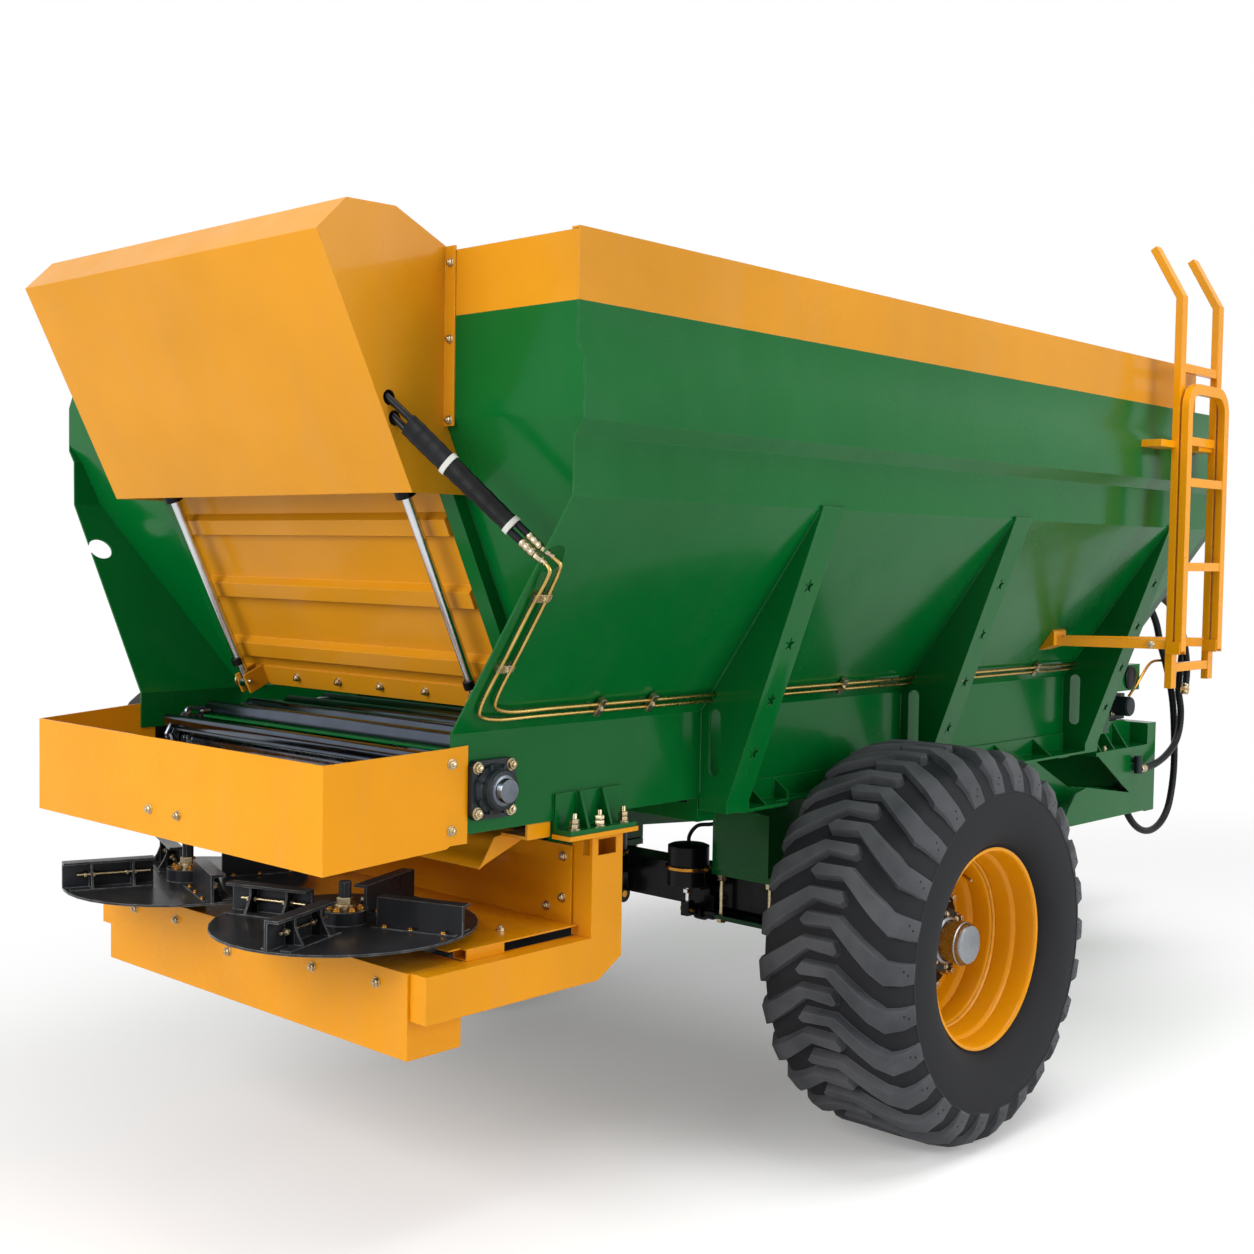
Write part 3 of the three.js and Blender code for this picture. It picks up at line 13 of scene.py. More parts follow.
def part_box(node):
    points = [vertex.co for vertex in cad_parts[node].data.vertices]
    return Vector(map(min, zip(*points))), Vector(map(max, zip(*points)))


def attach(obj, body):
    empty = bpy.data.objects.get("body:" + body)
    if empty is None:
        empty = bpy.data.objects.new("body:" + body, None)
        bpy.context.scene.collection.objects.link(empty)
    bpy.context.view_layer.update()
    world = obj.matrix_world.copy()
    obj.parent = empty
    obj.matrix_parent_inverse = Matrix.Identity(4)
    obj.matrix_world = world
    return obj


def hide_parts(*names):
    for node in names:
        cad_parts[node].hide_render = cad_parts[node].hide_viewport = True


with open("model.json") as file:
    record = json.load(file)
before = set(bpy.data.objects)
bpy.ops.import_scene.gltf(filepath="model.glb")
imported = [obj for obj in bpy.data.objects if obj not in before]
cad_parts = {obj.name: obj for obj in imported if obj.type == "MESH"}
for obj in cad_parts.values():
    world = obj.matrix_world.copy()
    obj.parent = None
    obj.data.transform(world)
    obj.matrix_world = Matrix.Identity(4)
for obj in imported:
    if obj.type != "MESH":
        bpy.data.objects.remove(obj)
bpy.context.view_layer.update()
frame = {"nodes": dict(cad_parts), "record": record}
rng = random.Random(7)

RIGHTWARD, LEFTWARD = Vector((1, 0, 0)), Vector((-1, 0, 0))
FORWARD, REARWARD = Vector((0, 1, 0)), Vector((0, -1, 0))
UPWARD, DOWNWARD = Vector((0, 0, 1)), Vector((0, 0, -1))

# The right wheel's middle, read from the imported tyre.
tyre_low, tyre_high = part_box("tyre_right")
WHEEL = (tyre_low + tyre_high) / 2
TYRE_RADIUS = tyre_high.z - WHEEL.z


def at(x, y, z):
    """A point from its distances to the axle's middle on the ground."""
    return Vector((x, y + WHEEL.y, z))


# ------------------------------------------------------------
# Camera

def place_camera():
    """The photo's own camera, solved from its vanishing lines."""
    turn, tilt, roll = math.radians(42.584), math.radians(2.637), math.radians(0.9225)
    back = Vector((math.sin(turn) * math.cos(tilt), -math.cos(turn) * math.cos(tilt), math.sin(tilt)))
    right = (-back).cross(UPWARD).normalized()
    up = right.cross(-back)
    rolled_right = math.cos(roll) * right + math.sin(roll) * up
    rolled_up = -math.sin(roll) * right + math.cos(roll) * up
    data = bpy.data.cameras.new("camera")
    data.sensor_width = 36
    data.lens = 45.58
    data.clip_start = 0.1
    data.clip_end = 200
    camera = bpy.data.objects.new("camera", data)
    bpy.context.scene.collection.objects.link(camera)
    place = Matrix((rolled_right, rolled_up, back)).transposed().to_4x4()
    place.translation = at(3.55, -4.13, 1.727)
    camera.matrix_world = place
    bpy.context.scene.camera = camera


place_camera()


# ------------------------------------------------------------
# Mesh building

def frame_of(direction, hint=None):
    """Two unit vectors square to a direction; the first lies as near as it can to the hint."""
    along = Vector(direction).normalized()
    other = Vector(hint) if hint else UPWARD
    if abs(along.dot(other.normalized())) > 0.98:
        other = RIGHTWARD if abs(along.x) < 0.9 else FORWARD
    first = (other - along * other.dot(along)).normalized()
    return first, along.cross(first)


def circle(centre, first, second, radius, sides, start=0.0):
    """Points round a centre, from the first direction towards the second."""
    angles = (start + 2 * math.pi * j / sides for j in range(sides))
    return [centre + radius * (math.cos(a) * first + math.sin(a) * second) for a in angles]


class Solid:
    """Gathers points and faces of many small bodies into one mesh."""

    def __init__(self):
        self.points = []
        self.faces = []
        self.kinds = []
        self.kind = 0

    def use(self, kind):
        """What is added from here on takes this one of the piece's materials."""
        self.kind = kind
        return self

    def add(self, points, faces):
        start = len(self.points)
        self.points.extend(points)
        self.faces.extend([start + i for i in face] for face in faces)
        self.kinds.extend([self.kind] * len(faces))
        return self

    def loft(self, rings, closed=False):
        """Joins rings of equally many points; every ring runs the same way round."""
        count = len(rings[0])
        faces = []
        for i in range(len(rings) if closed else len(rings) - 1):
            a, b = i * count, ((i + 1) % len(rings)) * count
            for j in range(count):
                k = (j + 1) % count
                faces.append([a + j, a + k, b + k, b + j])
        if not closed:
            last = (len(rings) - 1) * count
            faces.append(list(range(count))[::-1])
            faces.append([last + j for j in range(count)])
        return self.add([p for ring in rings for p in ring], faces)

    def rod(self, start, end, radius, sides=16):
        """A round bar between two points."""
        first, second = frame_of(end - start)
        turn = math.pi / sides
        return self.loft([circle(centre, first, second, radius, sides, turn) for centre in (start, end)])

    def turned(self, centre, axis, profile, sides=32, closed=False, start=0.0):
        """Revolves (distance along the axis, radius) pairs; a closed profile makes a ring."""
        first, second = frame_of(axis)
        return self.loft([
            circle(centre + axis * along, first, second, radius, sides, start) for along, radius in profile
        ], closed=closed)

    def cylinder(self, centre, axis, radius, height, sides):
        return self.turned(centre, axis, [(0, radius), (height, radius)], sides)

    def block(self, centre, size, x_axis=RIGHTWARD, z_axis=UPWARD, chamfer=0.0):
        """A box by its middle and full sizes, with its edges cut along Z if asked."""
        x_dir, _ = frame_of(z_axis, x_axis)
        y_dir = z_axis.cross(x_dir)
        hx, hy, hz = (s / 2 for s in size)
        c = chamfer
        outline = [(-hx, -hy), (hx, -hy), (hx, hy), (-hx, hy)]
        if c:
            outline = [
                (-hx + c, -hy), (hx - c, -hy), (hx, -hy + c), (hx, hy - c),
                (hx - c, hy), (-hx + c, hy), (-hx, hy - c), (-hx, -hy + c),
            ]
        return self.loft([
            [centre + x_dir * x + y_dir * y + z_axis * z for x, y in outline] for z in (-hz, hz)
        ])

    def slab(self, outline, offset):
        """A flat outline in space, thickened by an offset vector."""
        return self.loft([outline, [p + offset for p in outline]])

    def bolt(self, centre, axis, size=0.012, washer=True, stud=True):
        """A hex head on its washer with a little of the thread showing; size is the thread's."""
        lift = size * 0.18 if washer else 0.0
        if washer:
            self.cylinder(centre, axis, size * 1.1, lift, 16)
        head = size * 0.66
        flat = size * 0.92
        self.turned(centre, axis, [
            (lift, flat), (lift + head * 0.8, flat), (lift + head, flat * 0.82),
        ], 6, start=rng.random())
        if stud:
            self.turned(centre, axis, [
                (lift + head, size * 0.5), (lift + head * 1.5, size * 0.5), (lift + head * 1.6, size * 0.4),
            ], 10)
        return self

    def mirrored(self):
        """The same bodies on the other side of the machine."""
        twin = Solid()
        twin.points = [Vector((-p.x, p.y, p.z)) for p in self.points]
        twin.faces = [face[::-1] for face in self.faces]
        twin.kinds = list(self.kinds)
        return twin

    def tube(self, line, radius, sides, ripple=0.0):
        """A round tube through every point of a line; ripple narrows every other ring."""
        rings = []
        first = None
        for i, point in enumerate(line):
            ahead = line[min(i + 1, len(line) - 1)] - line[max(i - 1, 0)]
            first, second = frame_of(ahead, first)
            rings.append(circle(point, first, second, radius - (ripple if i % 2 else 0.0), sides))
        return self.loft(rings)


def smooth_line(points, steps):
    """Points of a centripetal Catmull-Rom curve through the given ones."""
    padded = [2 * points[0] - points[1], *points, 2 * points[-1] - points[-2]]
    out = []
    for i in range(1, len(padded) - 2):
        a, b, c, d = padded[i - 1:i + 3]
        before, here, after = ((q - p).length ** 0.5 for p, q in ((a, b), (b, c), (c, d)))
        start = ((b - a) / before - (c - a) / (before + here) + (c - b) / here) * here
        end = ((c - b) / here - (d - b) / (here + after) + (d - c) / after) * here
        for k in range(steps):
            t = k / steps
            out.append(
                b + start * t + (3 * (c - b) - 2 * start - end) * t * t
                + (2 * (b - c) + start + end) * t ** 3
            )
    out.append(points[-1])
    return out


FRAME_SURFACES = {}


def touch(node, start, direction):
    """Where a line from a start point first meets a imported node, and the way its face looks there."""
    if node not in FRAME_SURFACES:
        packed = frame["nodes"][node]
        corners = [packed.matrix_world @ v.co for v in packed.data.vertices]
        faces = [list(p.vertices) for p in packed.data.polygons]
        FRAME_SURFACES[node] = BVHTree.FromPolygons(corners, faces)
    place, normal, _, _ = FRAME_SURFACES[node].ray_cast(start, direction)
    if place is None:
        raise ValueError(f"{node}: nothing in the way from {tuple(start)}")
    return place, -normal if normal.dot(direction) > 0 else normal


def bolts_on(solid, node, starts, direction, size=0.012):
    """Bolts wherever the lines from the start points meet a node's face."""
    for start in starts:
        place, normal = touch(node, start, direction)
        solid.bolt(place, normal, size)


def make(name, solid, materials, body, replaces=()):
    """Turns gathered bodies into one object that rides on a body of the machine."""
    mesh = bpy.data.meshes.new(name)
    mesh.from_pydata([p[:] for p in solid.points], [], solid.faces)
    for material in materials:
        mesh.materials.append(material)
    mesh.polygons.foreach_set("material_index", solid.kinds)
    gathered = bmesh.new()
    gathered.from_mesh(mesh)
    bmesh.ops.recalc_face_normals(gathered, faces=gathered.faces)
    gathered.to_mesh(mesh)
    gathered.free()
    mesh.polygons.foreach_set("use_smooth", [True] * len(mesh.polygons))
    mesh.set_sharp_from_angle(angle=math.radians(40))
    piece = bpy.data.objects.new(name, mesh)
    bpy.context.scene.collection.objects.link(piece)
    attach(piece, body)
    if replaces:
        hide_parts(*replaces)
    return piece


# ------------------------------------------------------------
# Materials

class Nodes:
    """A small helper over a node tree."""

    def __init__(self, tree):
        self.tree = tree
        tree.nodes.clear()

    def node(self, kind, inputs, **settings):
        """Adds a node. Each input is given by name or number: a value, or another node's output."""
        made = self.tree.nodes.new(kind)
        for key, value in settings.items():
            setattr(made, key, value)
        for key, value in inputs.items():
            socket = made.inputs[key]
            if isinstance(value, bpy.types.NodeSocket):
                self.tree.links.new(value, socket)
            elif socket.type == "RGBA":
                socket.default_value = (*value, 1)
            else:
                socket.default_value = value
        return made

    def math(self, operation, first, second):
        return self.node("ShaderNodeMath", {0: first, 1: second}, operation=operation).outputs["Value"]

    def rays(self, *kinds):
        """1 for a ray of any of the given kinds, else 0."""
        path = self.node("ShaderNodeLightPath", {})
        shown = path.outputs[kinds[0]]
        for kind in kinds[1:]:
            shown = self.math("MAXIMUM", shown, path.outputs[kind])
        return shown

    def mix_shaders(self, factor, first, second):
        return self.node("ShaderNodeMixShader", {"Fac": factor, 1: first, 2: second}).outputs["Shader"]


class Surface(Nodes):
    """The nodes of a new material."""

    def __init__(self, name):
        self.material = bpy.data.materials.new(name)
        self.material.use_nodes = True
        super().__init__(self.material.node_tree)
        self.place = self.node("ShaderNodeTexCoord", {}).outputs["Object"]

    def noise(self, scale, detail=3.0, roughness=0.55, stretch=None):
        place = self.place
        if stretch:
            place = self.node("ShaderNodeMapping", {"Vector": place, "Scale": stretch}).outputs["Vector"]
        return self.node("ShaderNodeTexNoise", {
            "Vector": place, "Scale": scale, "Detail": detail, "Roughness": roughness,
        }).outputs["Fac"]

    def spread(self, value, low, high, to_low=0.0, to_high=1.0, **settings):
        """Carries a value from one range to another, held inside it."""
        return self.node("ShaderNodeMapRange", {
            "Value": value, "From Min": low, "From Max": high, "To Min": to_low, "To Max": to_high,
        }, **settings).outputs["Result"]

    def mix(self, factor, first, second):
        """A mix of two colours. Numbers 6, 7 and 2 are the colour sockets of the mix node."""
        return self.node("ShaderNodeMix", {0: factor, 6: first, 7: second}, data_type="RGBA").outputs[2]

    def rounded(self, radius):
        """The normal of the surface with its edges rounded."""
        return self.node("ShaderNodeBevel", {"Radius": radius}, samples=4).outputs["Normal"]

    def edges(self, radius):
        """Near 1 where the surface turns within the radius, 0 on the flat."""
        flat = self.node("ShaderNodeNewGeometry", {}).outputs["Normal"]
        normals = {0: self.rounded(radius), 1: flat}
        agreement = self.node("ShaderNodeVectorMath", normals, operation="DOT_PRODUCT")
        return self.spread(agreement.outputs["Value"], 0.985, 0.86)

    def finish(self, colour, roughness, bumps, bevel, **plain):
        """Wires the shader, with the bumps stacked on its rounded edges."""
        normal = self.rounded(bevel)
        for height, strength, distance in bumps:
            normal = self.node("ShaderNodeBump", {
                "Strength": strength, "Distance": distance, "Height": height, "Normal": normal,
            }).outputs["Normal"]
        shader = self.node("ShaderNodeBsdfPrincipled", {
            "Base Color": colour, "Roughness": roughness, "Normal": normal,
            **{name.replace("_", " "): value for name, value in plain.items()},
        })
        self.node("ShaderNodeOutputMaterial", {"Surface": shader.outputs["BSDF"]})
        return self.material


def srgb(red, green, blue):
    """A colour as it is seen, 0 to 255, in the linear values that shaders take."""
    return tuple(
        (c / 255 / 12.92) if c / 255 <= 0.04045 else ((c / 255 + 0.055) / 1.055) ** 2.4
        for c in (red, green, blue)
    )


def shade(colour, amount):
    return tuple(min(1.0, c * amount) for c in colour)


def paint(name, colour, gloss, edge=1.35, dust=0.10, bare=None):
    """Sprayed paint on sheet steel: orange peel, dust in streaks, edges rubbed paler or bare."""
    n = Surface(name)
    base = n.mix(n.spread(n.noise(1.7, 4), 0.3, 0.7), shade(colour, 0.9), shade(colour, 1.07))
    streaks = n.spread(n.noise(9, stretch=(1, 1, 0.12)), 0.5, 0.8)
    dusty = n.mix(n.math("MULTIPLY", streaks, dust), base, tuple(0.6 * c + 0.14 for c in colour))
    rubbed = n.math("MULTIPLY", n.edges(0.004), n.spread(n.noise(38), 0.35, 0.6, 0.25, 1))
    tone = bare or tuple(min(1, c * edge + 0.05) for c in colour)
    worn = n.mix(n.math("MULTIPLY", rubbed, 0.7), dusty, tone)
    roughness = n.spread(n.noise(5, 4), 0.25, 0.75, gloss - 0.07, gloss + 0.12)
    waves = (n.noise(2.4, 2), 0.10, 0.02)
    peel = (n.noise(260, 2), 0.06, 0.001)
    return n.finish(
        worn, roughness, [waves, peel], 0.003,
        Coat_Weight=0.12, Coat_Roughness=0.08, Specular_IOR_Level=0.12,
    )


def metal(name, colour, low, high, stain, grain=120, stretch=None, metallic=1.0, bump=0.15):
    """Bare or plated steel with a brushed or cast grain and dull patches."""
    n = Surface(name)
    grains = n.noise(grain, stretch=stretch)
    stained = tuple(c * s for c, s in zip(colour, stain))
    base = n.mix(n.spread(n.noise(11, 4), 0.35, 0.7), colour, stained)
    toned = n.mix(n.math("MULTIPLY", n.edges(0.002), 0.6), base, shade(colour, 1.5))
    return n.finish(
        toned, n.spread(grains, 0.3, 0.7, low, high), [(grains, bump, 0.002)], 0.0015, Metallic=metallic,
    )


def rubber(name, colour, scuffed, low=0.55, high=0.85):
    """Moulded rubber: matt, paler where it is rubbed, with a fine pebbled skin."""
    n = Surface(name)
    patches = n.noise(6, 5)
    base = n.mix(n.spread(patches, 0.35, 0.75), colour, scuffed)
    toned = n.mix(n.math("MULTIPLY", n.edges(0.006), 0.5), base, shade(scuffed, 1.3))
    return n.finish(
        toned, n.spread(patches, 0.2, 0.8, low, high), [(n.noise(140), 0.12, 0.002), (patches, 0.1, 0.004)],
        0.002, Specular_IOR_Level=0.2,
    )


GREEN = paint("green_paint", srgb(0, 94, 36), 0.2, dust=0.03)
# A darker copy of the green paint, put on parts that lie in shade: painted shade.
SHADED_GREEN = paint("dark_green_paint", srgb(0, 66, 32), 0.26)
MUSTARD = paint("mustard_paint", srgb(208, 140, 22), 0.32)
AMBER = paint("amber_paint", srgb(228, 150, 8), 0.26)
BLACK = paint("black_paint", srgb(5, 6, 9), 0.34, edge=2.2)
DISC = paint("disc_paint", srgb(34, 36, 40), 0.32, bare=srgb(168, 170, 168))
STEEL = metal("worn_steel", srgb(112, 118, 126), 0.2, 0.32, (0.6, 0.6, 0.6), grain=40)
SLAT = metal("slat_steel", srgb(84, 92, 104), 0.14, 0.24, (0.8, 0.8, 0.8), grain=9, bump=0.02)
CHROME = metal(
    "chrome_rod", srgb(214, 216, 220), 0.06, 0.16, (0.9, 0.9, 0.9), grain=300, stretch=(1, 1, 8),
)
ZINC = metal("zinc_plate", srgb(208, 176, 104), 0.22, 0.4, (0.75, 0.72, 0.62))
CAST = metal("cast_blue", srgb(14, 28, 34), 0.4, 0.6, (0.6, 0.6, 0.6), grain=90, metallic=0.2)
TYRE = rubber("tyre_rubber", srgb(24, 25, 28), srgb(38, 39, 42))
TREAD = rubber("tread_rubber", srgb(56, 58, 62), srgb(84, 85, 88), 0.45, 0.8)
NUT = metal("plated_nut", srgb(196, 184, 154), 0.2, 0.4, (0.7, 0.62, 0.5))
CAP = metal("hub_cap_steel", srgb(150, 155, 160), 0.22, 0.4, (0.75, 0.75, 0.75), grain=200)
HOSE = rubber("hose_rubber", srgb(9, 10, 12), srgb(22, 23, 26), 0.3, 0.48)
BAND = rubber("white_band", srgb(214, 214, 208), srgb(176, 176, 170), 0.4, 0.6)
BRASS = metal("brass", srgb(206, 150, 64), 0.16, 0.34, (0.7, 0.6, 0.5))

# Nodes in the dark_green_paint slot get the darker copy of the green, which is painted shade.
SLOT_MATERIALS = {
    "green_paint": GREEN, "dark_green_paint": SHADED_GREEN, "mustard_paint": MUSTARD,
    "amber_paint": AMBER, "black_paint": BLACK, "disc_paint": DISC, "worn_steel": STEEL,
    "chrome_rod": CHROME, "zinc_plate": ZINC, "cast_blue": CAST, "tyre_rubber": TYRE,
    "hose_rubber": HOSE,
}


def smoothing_group():
    """A modifier group that joins a mesh's doubled corners and shades its curved facets smooth."""
    group = bpy.data.node_groups.new("smooth_by_angle", "GeometryNodeTree")
    for way in ("INPUT", "OUTPUT"):
        group.interface.new_socket("Geometry", in_out=way, socket_type="NodeSocketGeometry")
    n = Nodes(group)
    start = n.node("NodeGroupInput", {}).outputs[0]
    joined = n.node("GeometryNodeMergeByDistance", {"Geometry": start, "Distance": 0.00005})
    smooth = n.node("GeometryNodeSetShadeSmooth", {"Geometry": joined.outputs["Geometry"]}, domain="FACE")
    turn = n.node("GeometryNodeInputMeshEdgeAngle", {}).outputs["Unsigned Angle"]
    sharp = n.node("FunctionNodeCompare", {0: turn, 1: math.radians(32)}, operation="GREATER_THAN")
    creased = n.node("GeometryNodeSetShadeSmooth", {
        "Geometry": smooth.outputs["Geometry"], "Selection": sharp.outputs["Result"], "Shade Smooth": False,
    }, domain="EDGE")
    n.node("NodeGroupOutput", {0: creased.outputs["Geometry"]})
    return group


def dress_frame():
    """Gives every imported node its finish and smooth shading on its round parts."""
    group = smoothing_group()
    slots = {row["node"]: row["material_slot"] for row in frame["record"]["subparts"]}
    for name, node in frame["nodes"].items():
        node.data.materials.clear()
        node.data.materials.append(SLOT_MATERIALS[slots[name]])
        node.modifiers.new("smooth", "NODES").node_group = group


dress_frame()


# ------------------------------------------------------------
# Tyres: a moulded carcass with two rows of angled lugs that lap over the middle of the tread

LUGS_PER_ROW = 26
# A lug's two edges, from past the tread's middle to the shoulder: distances across and along the tread.
LEADING_EDGE = [
    (-0.066, -0.003), (-0.050, 0.020), (0.058, 0.021), (0.135, -0.031),
    (0.175, -0.056), (0.212, -0.079), (0.238, -0.084), (0.249, -0.084),
]
TRAILING_EDGE = [
    (-0.066, -0.008), (-0.055, -0.019), (0.036, -0.012), (0.120, -0.079),
    (0.165, -0.113), (0.206, -0.145), (0.238, -0.150), (0.249, -0.150),
]
# Distances across the tread, with how far below the crown the lugs and the carcass lie there.
LUG_DROP = [(0.160, 0.0), (0.175, 0.005), (0.212, 0.023), (0.238, 0.065), (0.249, 0.110)]
CARCASS_DROP = [
    (0.120, 0.024), (0.175, 0.028), (0.205, 0.044), (0.226, 0.070), (0.240, 0.100), (0.249, 0.125),
]
SIDEWALL = [
    (0.2440, 0.114), (0.2468, 0.115), (0.2468, 0.120), (0.2455, 0.122), (0.2480, 0.142), (0.2488, 0.165),
    (0.2478, 0.195), (0.2440, 0.222), (0.2370, 0.242), (0.2270, 0.258), (0.2140, 0.272), (0.2030, 0.279),
    (0.1980, 0.281), (0.1950, 0.290), (0.1900, 0.298),
]


def drop_at(across, table):
    """How far below the crown a surface lies at a distance from the tyre's middle."""
    across = abs(across)
    if across <= table[0][0]:
        return table[0][1]
    for (near, first), (far, second) in zip(table, table[1:]):
        if across <= far:
            return first + (second - first) * (across - near) / (far - near)
    return table[-1][1]


def tread_point(across, along, drop):
    """A point on the right tyre: across from its middle, along its tread, below its crown."""
    angle = along / TYRE_RADIUS
    radius = TYRE_RADIUS - drop
    return WHEEL + Vector((across, -radius * math.cos(angle), radius * math.sin(angle)))


def add_lug(solid, row, along):
    """One lug of the row on the +X or -X side, with bevelled top edges and flared feet."""
    flare = 0.008
    rings = []
    for (ahead_x, ahead), (behind_x, behind) in zip(LEADING_EDGE, TRAILING_EDGE):
        bevel = min(0.0035, (ahead - behind) / 4)
        foot_in = 0.012 if ahead_x > 0.2 else 0.0
        ahead_top = drop_at(ahead_x, LUG_DROP)
        behind_top = drop_at(behind_x, LUG_DROP)
        ring = [
            (ahead_x - foot_in, ahead + flare, drop_at(ahead_x, CARCASS_DROP) + 0.006),
            (ahead_x, ahead, ahead_top + 0.004),
            (ahead_x, ahead - bevel, ahead_top),
            (behind_x, behind + bevel, behind_top),
            (behind_x, behind, behind_top + 0.004),
            (behind_x - foot_in, behind - flare, drop_at(behind_x, CARCASS_DROP) + 0.006),
        ]
        rings.append([tread_point(row * x, along + s, drop) for x, s, drop in ring])
    solid.loft([ring[::row] for ring in rings])


def add_pit_shadows(solid, row, along):
    """The two small moulded pits on the outer end of a lug, drawn as near-black discs that stand for the
    shade inside them: painted shade.
    """
    for across, offset in ((0.2395, -0.105), (0.2435, -0.118)):
        centre = tread_point(row * across, along + offset, drop_at(across, LUG_DROP))
        outward = centre - WHEEL
        outward.x = row * 0.9
        outward.normalize()
        solid.cylinder(centre - outward * 0.004, outward, 0.0035, 0.0045, 8)


def build_tyres():
    half = [(0.0, 0.024), *CARCASS_DROP[:-1], *SIDEWALL]
    inner = [(-across, TYRE_RADIUS - drop) for across, drop in half[:0:-1]]
    outer = [(across, TYRE_RADIUS - drop) for across, drop in half]
    bead = TYRE_RADIUS - SIDEWALL[-1][1] + 0.02
    moulded, pit_shadows = Solid(), Solid()
    moulded.turned(WHEEL, RIGHTWARD, [*inner, *outer, (0.10, bead), (-0.10, bead)], 156, closed=True)
    pitch = 2 * math.pi * TYRE_RADIUS / LUGS_PER_ROW
    moulded.use(1)
    for row, shift in ((1, 0.0), (-1, 0.5)):
        for i in range(LUGS_PER_ROW):
            add_lug(moulded, row, pitch * (i + shift))
            add_pit_shadows(pit_shadows, row, pitch * (i + shift))
    for side, tyre, pit_shadow_discs in (("right", moulded, pit_shadows), ("left", moulded.mirrored(), pit_shadows.mirrored())):
        body = f"wheel_{side}"
        make(f"tyre_{side}_moulded", tyre, [TYRE, TREAD], body, replaces=[f"tyre_{side}"])
        # The pits are near-black hose-rubber discs in place of real hollows: painted shade.
        make(f"tyre_{side}_pits", pit_shadow_discs, [HOSE], body)


# ------------------------------------------------------------
# Wheels: a stepped rim with a deep disc, a studded hub and its cap

# Turned outlines: distances outward from the wheel's middle, with radii.
RIM_OUTLINE = [
    (0.202, 0.298), (0.196, 0.2975), (0.186, 0.290), (0.142, 0.287), (0.131, 0.276), (0.082, 0.270),
    (0.070, 0.252), (-0.080, 0.252), (-0.092, 0.270), (-0.140, 0.287), (-0.186, 0.290), (-0.196, 0.2975),
    (-0.202, 0.298), (-0.202, 0.288), (-0.192, 0.284), (-0.140, 0.280), (-0.128, 0.268), (-0.085, 0.263),
    (-0.074, 0.246), (0.008, 0.244), (0.062, 0.246), (0.068, 0.249), (0.076, 0.262), (0.082, 0.2635),
    (0.124, 0.2675), (0.130, 0.270), (0.136, 0.279), (0.144, 0.2805), (0.192, 0.284), (0.199, 0.287),
    (0.202, 0.290),
]
DISC_OUTLINE = [
    (0.008, 0.2435), (-0.002, 0.236), (-0.008, 0.231), (-0.030, 0.228), (-0.044, 0.221), (-0.050, 0.210),
    (-0.050, 0.155), (-0.062, 0.155), (-0.062, 0.214), (-0.052, 0.230), (-0.030, 0.240), (-0.012, 0.246),
]
HUB_OUTLINE = [
    (-0.146, 0.120), (-0.110, 0.150), (-0.030, 0.164), (-0.004, 0.164), (0.0, 0.160),
    (0.0, 0.108), (0.006, 0.101), (0.052, 0.097), (0.060, 0.092),
]
CAP_OUTLINE = [
    (0.056, 0.071), (0.066, 0.072), (0.069, 0.069), (0.070, 0.0635), (0.112, 0.0630),
    (0.114, 0.0655), (0.122, 0.0655), (0.124, 0.0625), (0.136, 0.0610), (0.142, 0.0560),
]
WHEEL_NUTS = 10
NUT_CIRCLE = 0.138
CAP_BOLT_CIRCLE = 0.079


def build_wheels():
    rim, hub, cap, nuts = Solid(), Solid(), Solid(), Solid()
    for outline in (RIM_OUTLINE, DISC_OUTLINE):
        rim.turned(WHEEL, RIGHTWARD, outline[::-1], 120, closed=True)
    hub.turned(WHEEL, RIGHTWARD, HUB_OUTLINE, 72)
    cap.turned(WHEEL, RIGHTWARD, CAP_OUTLINE, 64)
    for place in circle(WHEEL, FORWARD, UPWARD, NUT_CIRCLE, WHEEL_NUTS, math.pi / WHEEL_NUTS):
        for profile, sides in (
            ([(-0.002, 0.019), (0.003, 0.019)], 20),
            ([(0.003, 0.0165), (0.020, 0.0165), (0.023, 0.0145)], 6),
            ([(0.023, 0.0105), (0.036, 0.0105), (0.038, 0.009)], 14),
        ):
            nuts.turned(place, RIGHTWARD, profile, sides)
    valve = WHEEL + Vector((0, 0.168, 0.168))
    nuts.rod(valve + Vector((0.01, 0, 0)), valve + Vector((0.05, -0.012, -0.012)), 0.005, 10)
    for place in circle(WHEEL + RIGHTWARD * 0.059, FORWARD, UPWARD, CAP_BOLT_CIRCLE, 8):
        nuts.bolt(place, RIGHTWARD, 0.008, stud=False)
    for name, solid, material, slot in (
        ("rim", rim, AMBER, "amber_paint"), ("hub", hub, BLACK, "black_paint"),
        ("hub_cap", cap, CAP, "worn_steel"), ("nuts", nuts, NUT, "worn_steel"),
    ):
        for side, shape in (("right", solid), ("left", solid.mirrored())):
            swap = [f"wheel_{side}"] if name == "rim" else []
            make(f"wheel_{side}_{name}", shape, [material], f"wheel_{side}", replaces=swap)


build_tyres()
build_wheels()


# ------------------------------------------------------------
# Floor conveyor: slats on two round-link chains that run over toothed sprockets

rear_low, rear_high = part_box("conveyor_rear_shaft")
front_low, front_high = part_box("conveyor_front_shaft")
_, chain_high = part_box("floor_chain")
REAR_SHAFT = Vector((0, (rear_low.y + rear_high.y) / 2, (rear_low.z + rear_high.z) / 2))
FRONT_SHAFT = Vector((0, (front_low.y + front_high.y) / 2, (front_low.z + front_high.z) / 2))
SLAT_RISE = 0.022
CHAIN_THICKNESS = 0.014
CHAIN_RADIUS = chain_high.z - REAR_SHAFT.z - SLAT_RISE - CHAIN_THICKNESS / 2
CHAIN_X = 0.600
CHAIN_STRAIGHT = FRONT_SHAFT.y - REAR_SHAFT.y
CHAIN_LOOP = 2 * (CHAIN_STRAIGHT + math.pi * CHAIN_RADIUS)
SLAT_PITCH = 0.145
LINK_PITCH = 0.047
